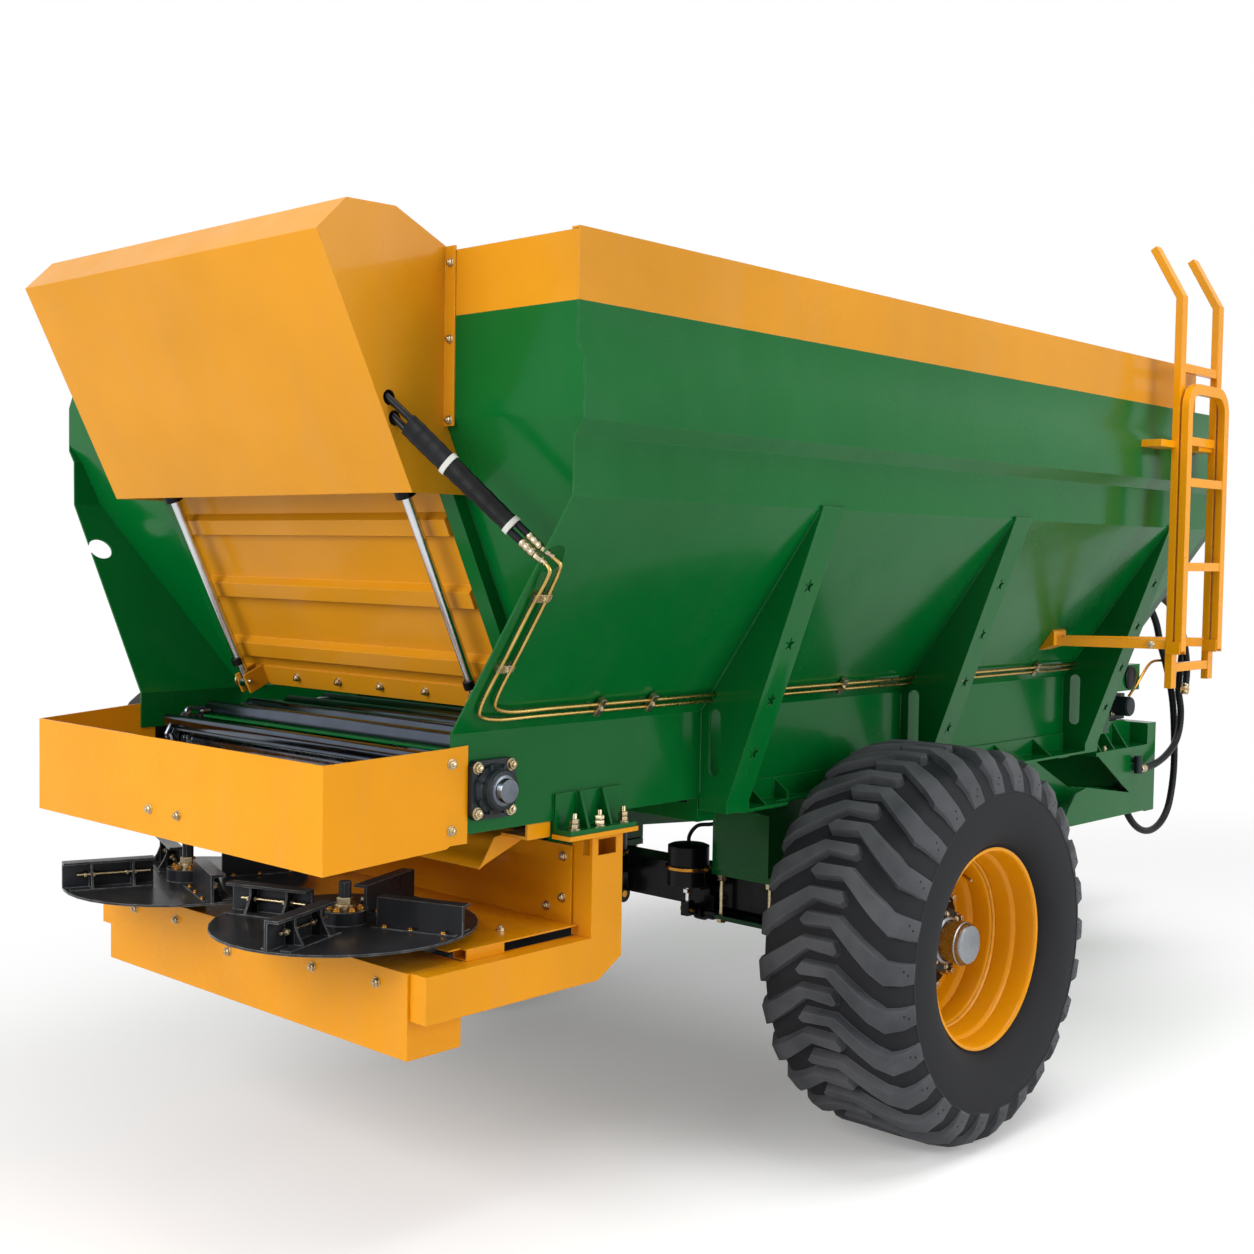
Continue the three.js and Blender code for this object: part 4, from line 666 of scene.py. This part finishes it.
# A slat's section: distances forward and outward from the chain's centreline.
SLAT_SECTION = [
    (-0.025, -0.006), (-0.025, -0.002), (-0.019, -0.001), (-0.0165, 0.014), (-0.012, 0.023),
    (-0.005, 0.0275), (0.005, 0.0275), (0.012, 0.023), (0.0165, 0.014), (0.019, -0.001),
    (0.025, -0.002), (0.025, -0.006),
]


def loop_place(distance):
    """A point on the chain's centreline at a distance round it, with the ways outward and forward."""
    lower = distance >= CHAIN_LOOP / 2
    along = distance - CHAIN_LOOP / 2 if lower else distance
    turn = max(along - CHAIN_STRAIGHT, 0) / CHAIN_RADIUS + (math.pi if lower else 0)
    travel = min(along, CHAIN_STRAIGHT)
    y = FRONT_SHAFT.y - travel if lower else REAR_SHAFT.y + travel
    outward = Vector((0, math.sin(turn), math.cos(turn)))
    return Vector((0, y, REAR_SHAFT.z)) + outward * CHAIN_RADIUS, outward, RIGHTWARD.cross(outward)


def build_slats():
    """Folded slats with a rounded back, a flange on each side and an end bolt at each chain."""
    slats, bolts = Solid(), Solid()
    half = chain_high.x - 0.0005
    count = round(CHAIN_LOOP / SLAT_PITCH)
    for i in range(count):
        middle, outward, forward = loop_place(CHAIN_LOOP * (i + 0.5) / count)
        slats.loft([
            [middle + RIGHTWARD * x + forward * u + outward * v for u, v in SLAT_SECTION]
            for x in (-half, half)
        ])
        for x in (-CHAIN_X - 0.022, CHAIN_X + 0.022):
            bolts.bolt(middle + RIGHTWARD * x, outward, 0.007, washer=False, stud=False)
    make("floor_chain_slats", slats, [SLAT], "root", replaces=["floor_chain"])
    make("slat_end_bolts", bolts, [NUT], "root")


def link_rings(pitch):
    """Rings of an oval link of round bar, lying flat round its own middle."""
    steps = 12
    line = []
    for k in range(steps):
        angle = 2 * math.pi * k / steps
        shift = math.copysign(0.9 * (pitch / 2 - 0.002), math.cos(angle))
        line.append(Vector((shift + 0.011 * math.cos(angle), 0.0125 * math.sin(angle), 0)))
    rings = []
    for k, here in enumerate(line):
        ahead = line[(k + 1) % steps] - line[k - 1]
        side = Vector((ahead.y, -ahead.x, 0)).normalized()
        rings.append(circle(here, side, UPWARD, 0.0062, 6))
    return rings


def build_chains():
    """Oval links of round bar, every other one turned on edge."""
    links = Solid()
    count = 2 * round(CHAIN_LOOP / (2 * LINK_PITCH))
    flat_link = link_rings(CHAIN_LOOP / count)
    for i in range(count):
        middle, outward, forward = loop_place(CHAIN_LOOP * i / count)
        across = RIGHTWARD if i % 2 else outward
        normal = forward.cross(across)
        for x in (-CHAIN_X, CHAIN_X):
            centre = middle + RIGHTWARD * x
            links.loft([
                [centre + forward * p.x + across * p.y + normal * p.z for p in ring] for ring in flat_link
            ], closed=True)
    make("floor_chain_links", links, [STEEL], "root")


def build_sprockets():
    """Teeth, hub bosses and a round shaft on both conveyor shafts."""
    steel = Solid()
    rim = CHAIN_RADIUS - 0.020
    plate = 0.006
    tip = CHAIN_RADIUS + 0.004
    tooth = [
        (rim - 0.01, -0.022), (rim + 0.008, -0.016), (tip, -0.007), (tip, 0.007),
        (rim + 0.008, 0.016), (rim - 0.01, 0.022),
    ]
    for shaft, low, high in ((REAR_SHAFT, rear_low, rear_high), (FRONT_SHAFT, front_low, front_high)):
        steel.turned(shaft, RIGHTWARD, [
            (low.x, 0.0285), (low.x + 0.003, 0.030), (high.x - 0.003, 0.030), (high.x, 0.0285),
        ], 40)
        for x in (-CHAIN_X, CHAIN_X):
            for side in (-0.0105, 0.0045):
                centre = shaft + RIGHTWARD * (x + side)
                steel.cylinder(centre, RIGHTWARD, rim, plate, 40)
                for out in circle(Vector(), FORWARD, UPWARD, 1, 8, math.pi / 8):
                    across = RIGHTWARD.cross(out)
                    steel.slab([centre + out * r + across * s for r, s in tooth], RIGHTWARD * plate)
            steel.turned(shaft + RIGHTWARD * x, RIGHTWARD, [
                (-0.028, 0.044), (-0.026, 0.047), (0.026, 0.047), (0.028, 0.044),
            ], 32)
    shafts = ["conveyor_rear_shaft", "conveyor_front_shaft"]
    make("conveyor_sprockets", steel, [STEEL], "root", replaces=shafts)


build_slats()
build_chains()
build_sprockets()


# ------------------------------------------------------------
# Pressure pipes with their clamps, and the hoses

def points_at(rows):
    """Points from millimetres."""
    return [at(x / 1000, y / 1000, z / 1000) for x, y, z in rows]


LOWER_PIPE = points_at([
    (737, 1500, 1322), (737, -1340, 1322), (737, -1400, 1322), (738, -1540, 1323), (745, -1590, 1336),
    (762, -1602, 1362), (850, -1604, 1486), (938, -1606, 1610), (964, -1608, 1640), (989, -1611, 1671),
    (999, -1615, 1687), (990, -1619, 1702), (966, -1630, 1722),
])
UPPER_PIPE = points_at([
    (750, 1500, 1340), (750, -1340, 1340), (750, -1370, 1340), (751, -1505, 1341), (759, -1553, 1355),
    (776, -1565, 1380), (860, -1568, 1499), (949, -1572, 1624), (973, -1576, 1656), (997, -1583, 1685),
    (1009, -1592, 1701), (1000, -1600, 1713), (988, -1608, 1726), (975, -1616, 1737),
])
LOWER_GATE_HOSE = points_at([
    (965.6, -1630.2, 1722.4), (866, -1688, 1825), (765, -1744, 1930), (690, -1784, 2008),
    (634, -1790, 2052), (592, -1752, 2064), (565, -1735, 2062), (546.3, -1735, 2062),
])
UPPER_GATE_HOSE = points_at([
    (974.6, -1616.2, 1737.4), (872, -1680, 1850), (768, -1748, 1964), (694, -1794, 2046),
    (636, -1812, 2096), (592, -1774, 2112), (565, -1756, 2110), (546.3, -1756, 2110),
])
LOW_HOSE = points_at([
    (540, 1775.6, 1600), (540, 1850, 1600), (555, 2050, 1616), (575, 2220, 1607), (592, 2360, 1561),
    (600, 2445, 1474), (600, 2500, 1375), (600, 2567, 1277), (600, 2641, 1126), (600, 2672, 970),
    (600, 2680, 833), (600, 2665, 734), (600, 2623, 639), (597, 2553, 583), (590, 2466, 562),
    (580, 2384, 580), (570, 2300, 645), (562, 2255, 740), (557, 2237, 820), (557, 2237, 929.7),
])
ELBOW_HOSE = points_at([
    (600, 1775.6, 1612), (600, 1850, 1612), (608, 2060, 1632), (622, 2250, 1628), (634, 2420, 1590),
    (640, 2560, 1500), (640, 2632, 1390), (640, 2622, 1270), (640, 2608, 1180), (640, 2640, 1080),
    (640, 2632, 1000), (640, 2590, 940), (638, 2500, 890), (632, 2400, 860), (626, 2330, 852),
    (625, 2279.3, 852),
])
SPARE_HOSE = points_at([
    (660, 1775.6, 1600), (660, 1850, 1600), (666, 2060, 1614), (672, 2240, 1600), (678, 2400, 1550),
    (680, 2510, 1465), (680, 2575, 1350), (680, 2597, 1250), (680, 2578, 1160),
])


def build_pipes():
    """Both pressure pipes, the clamps that hold them and the unions on their upper ends."""
    for node, route in (("hydraulic_pipe_lower", LOWER_PIPE), ("hydraulic_pipe_upper", UPPER_PIPE)):
        run = Solid().tube([route[0], *smooth_line(route[1:], 6)], 0.005, 12)
        make(f"{node}_run", run, [ZINC], "root", replaces=[node])
    clamps = Solid()
    skirt_out = Vector((0.82, 0, -0.57))
    slope_out = Vector((0.815, 0, -0.58))
    climb = Vector((0.58, 0, 0.815))
    places = [(at(0.7455, y, 1.333), FORWARD, skirt_out) for y in (-1.18, -0.98, -0.1, 0.62, 1.12)]
    places += [(at(x, -1.586, z), climb, slope_out) for x, z in ((0.944, 1.625), (0.823, 1.455))]
    for centre, along, out in places:
        out = out.normalized()
        clamps.block(centre, (0.054, 0.022, 0.015), x_axis=along.cross(out), z_axis=out, chamfer=0.004)
        clamps.bolt(centre + out * 0.008, out, 0.007)
    for route in (LOWER_PIPE, UPPER_PIPE):
        back = (route[-2] - route[-1]).normalized()
        clamps.turned(route[-1], back, [(0.001, 0.0092), (0.020, 0.0092), (0.021, 0.0085)], 6)
        clamps.turned(route[-1], back, [(0.021, 0.0075), (0.034, 0.0072)], 16)
    make("pipe_clamps", clamps, [NUT], "root")


# A crimped hose end: distances in from the tip, with radii as shares of its widest.
CRIMP = [
    (0.001, 0.86), (0.004, 1), (0.010, 1), (0.012, 0.93), (0.016, 0.93), (0.018, 1),
    (0.026, 1), (0.028, 0.93), (0.032, 0.93), (0.034, 1), (0.040, 1), (0.043, 0.9),
]


def build_hose(node, route, radius, far_end, ripple=0.0):
    """A hose in its node's place with crimped ends; a free end gets a brass coupling."""
    line = smooth_line(route, 12)
    hose = Solid().tube(line, radius, 14, ripple)
    piece = make(f"{node}_line", hose, [HOSE], "root", replaces=[node])
    fittings = Solid()
    widest = radius * 1.16
    for end, inner, free in ((line[0], line[4], False), (line[-1], line[-5], far_end == "fitting")):
        inward = (inner - end).normalized()
        fittings.use(0)
        fittings.turned(end, inward, [(depth, widest * share) for depth, share in CRIMP], 20)
        if free:
            fittings.use(1)
            fittings.turned(end, inward, [
                (-0.001, widest * 0.9), (0.022, widest * 1.12), (0.024, widest * 1.12),
            ], 6)
    crimps = make(f"{node}_fittings", fittings, [NUT, BRASS], "root")
    return line


def build_sleeve(lower, upper):
    """The protective sleeve drawn over both gate hoses, with a white band at each end."""
    spans = []
    for i in range(6, 35):
        gap = upper[i] - lower[i]
        forward = (lower[i + 1] + upper[i + 1] - lower[i - 1] - upper[i - 1]) / 2
        long, short = frame_of(forward, gap)
        spans.append(((lower[i] + upper[i]) / 2, long, short, gap.length / 2 + 0.0095))

    def ring_at(i, grow):
        """An oval round both hoses."""
        middle, long, short, half = spans[i]
        return circle(middle, long * (half + grow), short * (0.0130 + grow), 1, 24)

    sleeve = Solid()
    sleeve.loft([ring_at(i, 0.0006 * math.sin(i * 2.1)) for i in range(len(spans))])
    sleeve.use(1)
    for i in (0, 15):
        sleeve.loft([ring_at(i, 0.0), ring_at(i, 0.0028), ring_at(i + 1, 0.0028), ring_at(i + 1, 0.0)])
    make("gate_hose_sleeve", sleeve, [HOSE, BAND], "root")


build_pipes()
lower_gate_line = build_hose("gate_hose_lower", LOWER_GATE_HOSE, 0.009, "object")
upper_gate_line = build_hose("gate_hose_upper", UPPER_GATE_HOSE, 0.009, "object")
build_sleeve(lower_gate_line, upper_gate_line)
build_hose("supply_hose_low", LOW_HOSE, 0.015, "object", ripple=0.0004)
build_hose("supply_hose_elbow", ELBOW_HOSE, 0.015, "object", ripple=0.0004)
build_hose("supply_hose_spare", SPARE_HOSE, 0.015, "fitting", ripple=0.0004)


# ------------------------------------------------------------
# Rear end: bolts, the conveyor bearing, hanger studs and weld beads

def build_rear_bolts():
    both = (1, -1)
    cross_box = ((-0.54, 0.686), (-0.323, 0.69), (-0.067, 0.648), (0.306, 0.677), (0.562, 0.688))
    pan = ((0.639, 0.933), (0.637, 0.823), (0.579, 0.793))
    bolts = Solid()
    bolts_on(bolts, "spinner_cross_box", [at(x, -2.2, z) for x, z in cross_box], FORWARD)
    bolts_on(bolts, "deflector_box", [at(-0.074, -2.2, 1.056), at(0.059, -2.2, 1.055)], FORWARD)
    for side in both:
        bolts_on(bolts, "deflector_box", [at(side * 0.9, -1.642, z) for z in (1.22, 1.06)], LEFTWARD * side)
    bolts_on(bolts, "spinner_pan", [at(side * x, -1.3, z) for side in both for x, z in pan], FORWARD)
    bolts_on(bolts, "spinner_pan", [at(side * 0.6, -1.38, 0.9) for side in both], DOWNWARD, 0.011)
    hood = [at(side * 0.684, -2.2, z) for side in both for z in (2.405, 2.226, 2.036)]
    bolts_on(bolts, "hood", hood, FORWARD, 0.010)
    make("rear_bolts", bolts, [NUT], "root")
    strip = Solid()
    strip_x = (-0.52, -0.334, -0.136, 0.055, 0.249, 0.44)
    bolts_on(strip, "rear_gate", [at(x, -2.2, 1.347) for x in strip_x], FORWARD)
    make("gate_strip_bolts", strip, [NUT], "gate")


def build_hanger_studs():
    """Studs with two nuts each where the spinner arms hang from the hopper's brackets."""
    studs = Solid()
    for side, hopper in ((1, "hopper_side_right"), (-1, "hopper_side_left")):
        for y in (-1.261, -1.169, -1.078):
            place, _ = touch(hopper, at(side * 0.742, y, 1.2), DOWNWARD)
            studs.cylinder(place, UPWARD, 0.017, 0.003, 20)
            for lift in (0.003, 0.016):
                studs.turned(place, UPWARD, [
                    (lift, 0.012), (lift + 0.001, 0.0135), (lift + 0.010, 0.0135), (lift + 0.0118, 0.012),
                ], 6, start=rng.random())
            studs.turned(place, UPWARD, [(0.0, 0.0072), (0.040, 0.0072), (0.042, 0.006)], 14)
    make("hanger_studs", studs, [NUT], "root")


def build_bearing():
    """The rear shaft's flanged bearing: ribbed cast housing, four bolts and a lock collar."""
    low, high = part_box("rear_bearing")
    nose = Vector((high.x, REAR_SHAFT.y, REAR_SHAFT.z))
    flange = Vector((low.x + 0.018, REAR_SHAFT.y, REAR_SHAFT.z))
    bearing = Solid()
    bearing.turned(nose, RIGHTWARD, [
        (0.0, 0.0505), (0.004, 0.0505), (0.006, 0.048), (0.010, 0.048), (0.012, 0.045), (0.0125, 0.036),
    ], 40)
    bearing.turned(flange, RIGHTWARD, [(0.0, 0.063), (0.006, 0.062), (0.010, 0.056), (0.016, 0.053)], 40)
    for spoke in circle(Vector(), FORWARD, UPWARD, 1, 8, math.pi / 8):
        bearing.block(flange + RIGHTWARD * 0.008 + spoke * 0.058, (0.016, 0.007, 0.012), z_axis=spoke)
    bearing.use(1)
    bearing.turned(nose, RIGHTWARD, [(0.0, 0.0385), (0.013, 0.0385), (0.015, 0.036), (0.0152, 0.0305)], 32)
    bearing.use(2)
    for dy in (-0.055, 0.055):
        for dz in (-0.055, 0.055):
            bearing.bolt(flange + Vector((0, dy, dz)), RIGHTWARD, 0.014)
    make("rear_bearing_details", bearing, [CAST, STEEL, NUT], "root")


def weld(solid, start, end):
    """A weld bead: a row of overlapping scales laid along a seam."""
    steps = max(4, round((end - start).length / 0.008))
    solid.tube([start.lerp(end, i / steps) for i in range(steps + 1)], 0.0032, 6, ripple=0.0008)


def build_welds():
    beads = Solid()
    for side in (1, -1):
        skirt = side * 0.7012
        for rear in (-0.717, 0.300, 1.420):
            for y in (rear - 0.0005, rear + 0.0085):
                weld(beads, at(skirt, y, 1.060), at(skirt, y, 1.285))
                weld(beads, at(skirt, y, 1.293), at(side * 1.0935, y, 1.848))
        for y in (-1.219, -1.211, -1.134, -1.126):
            weld(beads, at(skirt, y, 1.022), at(skirt, y, 1.085))
    make("rib_welds", beads, [GREEN], "root")


build_rear_bolts()
build_hanger_studs()
build_bearing()
build_welds()


# ------------------------------------------------------------
# Spinner discs: hub bolts, hub shafts and the rods that set each vane

VANES = 4
DISC_TURNS = {"right": 0.35, "left": 1.2}


def add_vane(solid, base, along):
    """The rod, foot strips, gussets and bolts of the vane that leaves the disc's middle this way."""
    across = UPWARD.cross(along)

    def on_vane(u, v, w):
        return base + along * u + across * v + UPWARD * w

    solid.use(1)
    solid.rod(on_vane(0.105, 0.016, 0.036), on_vane(0.300, 0.016, 0.036), 0.0045, 12)
    for u in (0.143, 0.165, 0.253, 0.275):
        solid.cylinder(on_vane(u, 0.016, 0.036), along, 0.0095, 0.006, 6)
    solid.use(2)
    solid.block(on_vane(0.215, 0.045, 0.002), (0.215, 0.030, 0.004), x_axis=along)
    gusset = [(0.004, 0.066), (0.020, 0.062), (0.032, 0.050), (0.040, 0.030), (0.056, 0.004), (0.004, 0.004)]
    for u in (0.15, 0.26):
        solid.slab([on_vane(u, v, w) for v, w in gusset], along * 0.006)
    strip = [(0.095, -0.0045), (0.095, -0.030), (0.325, -0.022), (0.325, -0.0045)]
    solid.slab([on_vane(u, v, 0.0) for u, v in strip], UPWARD * 0.004)
    solid.use(0)
    for u in (0.125, 0.200, 0.290):
        solid.bolt(on_vane(u, -0.017, 0.004), UPWARD, 0.007, stud=False)


def build_spinners():
    for side, turn in DISC_TURNS.items():
        low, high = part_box(f"spinner_disc_{side}")
        foot = Vector(((low.x + high.x) / 2, (low.y + high.y) / 2, low.z + 0.010))
        plate_top = foot + UPWARD * 0.006
        hub_top = foot + UPWARD * 0.040
        extra = Solid()
        for place in circle(hub_top, RIGHTWARD, FORWARD, 0.038, 6, turn + math.pi / 6):
            extra.bolt(place, UPWARD, 0.009)
        extra.use(1)
        extra.turned(hub_top, UPWARD, [(0, 0.026), (0.012, 0.026), (0.014, 0.024), (0.016, 0.0185)], 28)
        extra.turned(hub_top, UPWARD, [(0.016, 0.021), (0.028, 0.021), (0.030, 0.019)], 6)
        for along in circle(Vector(), RIGHTWARD, FORWARD, 1, VANES, turn):
            add_vane(extra, plate_top, along)
        make(f"spinner_{side}_details", extra, [BRASS, NUT, DISC], f"spinner_{side}")


def build_gate_rods():
    """A zinc pin with its ring clip, and a black collar, at the foot of each gate rod."""
    lean = math.radians(25.15)
    slope = Vector((0, -math.sin(lean), math.cos(lean)))
    for side, sign in (("right", 1), ("left", -1)):
        low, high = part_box(f"gate_rod_{side}")
        foot = Vector(((low.x + high.x) / 2, high.y - 0.030, low.z + 0.022))
        pin = Solid()
        pin.turned(foot - RIGHTWARD * 0.034, RIGHTWARD, [
            (0, 0.0115), (0.004, 0.0125), (0.006, 0.0075), (0.068, 0.0075), (0.070, 0.006),
        ], 20)
        clip = circle(foot + RIGHTWARD * sign * 0.026, FORWARD, UPWARD, 0.016, 14)
        pin.tube(clip[:12], 0.0018, 6)
        pin.use(1)
        pin.turned(foot + slope * 0.055, slope, [(0, 0.0155), (0.018, 0.0155), (0.022, 0.0138)], 24)
        make(f"gate_rod_{side}_pin", pin, [NUT, BLACK], "gate")


build_spinners()
build_gate_rods()


# ------------------------------------------------------------
# Axle: brake chambers, slack adjusters and the clamp bolts under the pedestals

BRAKE_X = 0.185
# The lever's outline: distances forward from the axle and up from the ground.
BRAKE_LEVER = [
    (-0.166, 0.566), (-0.146, 0.572), (-0.100, 0.566), (-0.056, 0.560), (-0.052, 0.526), (-0.080, 0.522),
    (-0.120, 0.536), (-0.164, 0.544),
]
AIR_LINE = [
    (0.185, -0.150, 0.776), (0.187, -0.150, 0.800), (0.220, -0.148, 0.838), (0.262, -0.120, 0.846),
    (0.290, -0.080, 0.862), (0.292, -0.020, 0.885),
]


def build_brakes():
    brakes, air = Solid(), Solid()
    for side in (1, -1):
        x = side * BRAKE_X
        foot = at(x, -0.150, 0.0)
        brakes.use(0)
        brakes.turned(foot, UPWARD, [
            (0.640, 0.0685), (0.690, 0.0690), (0.692, 0.0740),
            (0.706, 0.0740), (0.708, 0.0690), (0.7695, 0.0690),
        ], 40)
        brakes.turned(foot, UPWARD, [(0.7695, 0.066), (0.7735, 0.060), (0.7745, 0.020)], 40)
        brakes.use(1)
        brakes.turned(foot, UPWARD, [(0.694, 0.0762), (0.704, 0.0762)], 40)
        brakes.bolt(foot + Vector((side * 0.076, 0, 0.699)), RIGHTWARD * side, 0.008)
        brakes.use(2)
        brakes.rod(foot + UPWARD * 0.640, foot + UPWARD * 0.575, 0.009)
        brakes.turned(foot, UPWARD, [(0.612, 0.016), (0.624, 0.016)], 6)
        brakes.use(0)
        brakes.block(foot + UPWARD * 0.560, (0.034, 0.040, 0.046), chamfer=0.005)
        brakes.use(1)
        brakes.cylinder(foot + Vector((-0.026, 0, 0.556)), RIGHTWARD, 0.008, 0.052, 16)
        brakes.use(0)
        brakes.slab([at(x - 0.008, y, z) for y, z in BRAKE_LEVER], RIGHTWARD * 0.016)
        hub = at(x, -0.075, 0.540)
        brakes.cylinder(hub - RIGHTWARD * 0.016, RIGHTWARD, 0.030, 0.032, 28)
        brakes.use(1)
        brakes.cylinder(hub - RIGHTWARD * 0.018, RIGHTWARD, 0.012, 0.036, 16)
        air.tube(smooth_line([at(side * x, y, z) for x, y, z in AIR_LINE], 8), 0.0065, 12)
    make("brake_chambers", brakes, [BLACK, BRASS, CHROME], "root")
    make("brake_air_lines", air, [HOSE], "root")


def build_axle_clamps():
    clamps = Solid()
    for side in (1, -1):
        for y in (-0.095, 0.095):
            clamps.use(0)
            for x in (0.285, 0.485):
                place, _ = touch("chassis", at(side * x, y, 0.45), UPWARD)
                clamps.cylinder(place, DOWNWARD, 0.019, 0.003, 20)
                clamps.turned(place, DOWNWARD, [(0.003, 0.0165), (0.019, 0.0165), (0.021, 0.0145)], 6)
                clamps.rod(place, Vector((place.x, place.y, 0.530)), 0.009, 14)
                clamps.cylinder(at(side * x, y, 0.535), DOWNWARD, 0.0165, 0.014, 6)
            # The clamp plates take the darker copy of the green: painted shade.
            clamps.use(1)
            clamps.block(at(side * 0.385, y, 0.541), (0.240, 0.044, 0.012), chamfer=0.008)
    make("axle_clamps", clamps, [NUT, SHADED_GREEN], "root")


build_brakes()
build_axle_clamps()


# ------------------------------------------------------------
# Front end: tank, pump, valve, deck bolts, hose ports and ladder bolts

# The valve's stacked rings: bottom, top and radius.
VALVE_RINGS = (
    (1.160, 1.190, 0.016), (1.190, 1.205, 0.026), (1.205, 1.222, 0.021),
    (1.222, 1.240, 0.030), (1.240, 1.262, 0.024), (1.262, 1.300, 0.034),
)


def build_front():
    tank_low, tank_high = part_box("hydraulic_tank")
    tank_middle = (tank_low + tank_high) / 2
    pump_low, pump_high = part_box("pump_block")
    parts = Solid()
    filler = Vector((tank_middle.x - 0.005, tank_middle.y, tank_high.z - 0.002))
    parts.turned(filler, UPWARD, [(0, 0.030), (0.014, 0.030), (0.018, 0.026), (0.0185, 0.006)], 32)
    cover = Vector((tank_high.x, tank_middle.y + 0.01, tank_high.z - 0.090))
    parts.turned(cover, RIGHTWARD, [(0, 0.050), (0.008, 0.050), (0.012, 0.044), (0.014, 0.020)], 36)
    nose = Vector((pump_high.x, (pump_low.y + pump_high.y) / 2, 1.110))
    parts.use(1)
    parts.turned(nose, RIGHTWARD, [(0, 0.040), (0.006, 0.038), (0.009, 0.026), (0.010, 0.012)], 36)
    parts.use(2)
    for place in circle(nose - RIGHTWARD * 0.0595, FORWARD * 0.058, UPWARD * 0.048, 1, 4, math.pi / 4):
        parts.bolt(place, RIGHTWARD, 0.009)
    parts.use(0)
    for low, high, radius in VALVE_RINGS:
        parts.turned(Vector((0.470, nose.y, 0)), UPWARD, [
            (low, radius * 0.9), (low + 0.003, radius), (high - 0.003, radius), (high, radius * 0.9),
        ], 28)
    parts.use(3)
    parts.tube(smooth_line([
        Vector((nose.x - 0.02, nose.y + 0.030, 1.150)), Vector((0.565, nose.y + 0.060, 1.210)),
        Vector((0.575, nose.y + 0.160, 1.292)), Vector((0.585, nose.y + 0.270, 1.300)),
    ], 8), 0.006, 12)
    make("front_hydraulics", parts, [BLACK, CAST, NUT, BRASS], "root")


def build_hose_ports():
    """Flanged ports where the supply hoses leave the front wall."""
    ports = Solid()
    for x, z in ((0.540, 1.600), (0.600, 1.612), (0.660, 1.600)):
        place = at(x, 1.7752, z)
        ports.turned(place, FORWARD, [(0.0, 0.0235), (0.012, 0.0235), (0.013, 0.021)], 6)
        ports.turned(place, FORWARD, [(0.013, 0.0195), (0.030, 0.0185)], 24)
    make("hose_ports", ports, [NUT], "root")


def build_frame_bolts():
    bolts = Solid()
    front = [at(x, 3.0, z) for x in (-0.54, -0.36, 0.36, 0.54) for z in (0.72, 0.90)]
    bolts_on(bolts, "chassis", front, REARWARD, 0.014)
    bolts_on(bolts, "chassis", [at(0.555, y, 1.3) for y in (2.0, 2.09, 2.25)], DOWNWARD, 0.011)
    bolts_on(bolts, "ladder", [at(1.45, 1.205, 1.44)], LEFTWARD)
    make("frame_bolts", bolts, [NUT], "root")


build_front()
build_hose_ports()
build_frame_bolts()


# ------------------------------------------------------------
# Floor and light

WORLD_LIGHT = 0.5
FLOOR_TONES = (0.84, 0.88)
FLOOR_LIFT = 0.20
# How far out the floor starts to fade, and where it is white. Distances along Y count half.
FADE_START, FADE_END = 1.3, 3.4


def light_the_scene():
    """A plain white studio, shown at full white, with a large lamp behind it, beside it and above it."""
    scene = bpy.context.scene
    scene.view_settings.view_transform = "Standard"
    scene.world = bpy.data.worlds.new("studio")
    scene.world.use_nodes = True
    n = Nodes(scene.world.node_tree)
    plain, seen = (
        n.node("ShaderNodeBackground", {"Color": (1, 1, 1), "Strength": strength}).outputs["Background"]
        for strength in (WORLD_LIGHT, 1.0)
    )
    shown = n.rays("Is Camera Ray", "Is Transmission Ray", "Is Glossy Ray")
    n.node("ShaderNodeOutputWorld", {"Surface": n.mix_shaders(shown, plain, seen)})

    for name, place, aim, size, power in (
        ("key", Vector((0.2, -8.0, 4.0)), Vector((0, -1.5, 1.2)), 4.0, 315),
        ("fill", Vector((7.0, 0.8, 3.0)), Vector((0, 0, 0.8)), 4.0, 190),
        ("top", Vector((2.0, -0.5, 8.0)), Vector((0, 0, 1)), 4.5, 300),
    ):
        data = bpy.data.lights.new(name, "AREA")
        data.energy = power
        data.size = size
        lamp = bpy.data.objects.new(name, data)
        scene.collection.objects.link(lamp)
        lamp.location = place
        lamp.rotation_mode = "QUATERNION"
        lamp.rotation_quaternion = (aim - place).to_track_quat("-Z", "Y")


def lay_the_floor():
    """A white floor that keeps the machine's soft shadow and fades into the white studio round it."""
    reach = 60
    mesh = bpy.data.meshes.new("floor")
    corners = [(-reach, -reach, 0), (reach, -reach, 0), (reach, reach, 0), (-reach, reach, 0)]
    mesh.from_pydata(corners, [], [[0, 1, 2, 3]])
    n = Surface("floor")
    tone = n.spread(n.noise(0.6, 2.0, 0.5), 0, 1, *FLOOR_TONES)
    ground = n.node("ShaderNodeBsdfDiffuse", {"Color": tone}).outputs["BSDF"]
    lift = n.math("MULTIPLY", n.rays("Is Camera Ray"), FLOOR_LIFT)
    glow = n.node("ShaderNodeEmission", {"Strength": lift}).outputs["Emission"]
    lifted = n.node("ShaderNodeAddShader", {0: ground, 1: glow}).outputs["Shader"]
    white = n.node("ShaderNodeEmission", {}).outputs["Emission"]
    squeezed = n.node("ShaderNodeVectorMath", {0: n.place, 1: (1, 0.5, 1)}, operation="MULTIPLY")
    away = n.node("ShaderNodeVectorMath", {0: squeezed.outputs["Vector"]}, operation="LENGTH")
    fade = n.spread(away.outputs["Value"], FADE_START, FADE_END, interpolation_type="SMOOTHSTEP")
    shown = n.rays("Is Camera Ray", "Is Glossy Ray")
    mixed = n.mix_shaders(n.math("MULTIPLY", shown, fade), lifted, white)
    n.node("ShaderNodeOutputMaterial", {"Surface": mixed})
    mesh.materials.append(n.material)
    floor = bpy.data.objects.new("floor", mesh)
    bpy.context.scene.collection.objects.link(floor)


light_the_scene()
lay_the_floor()
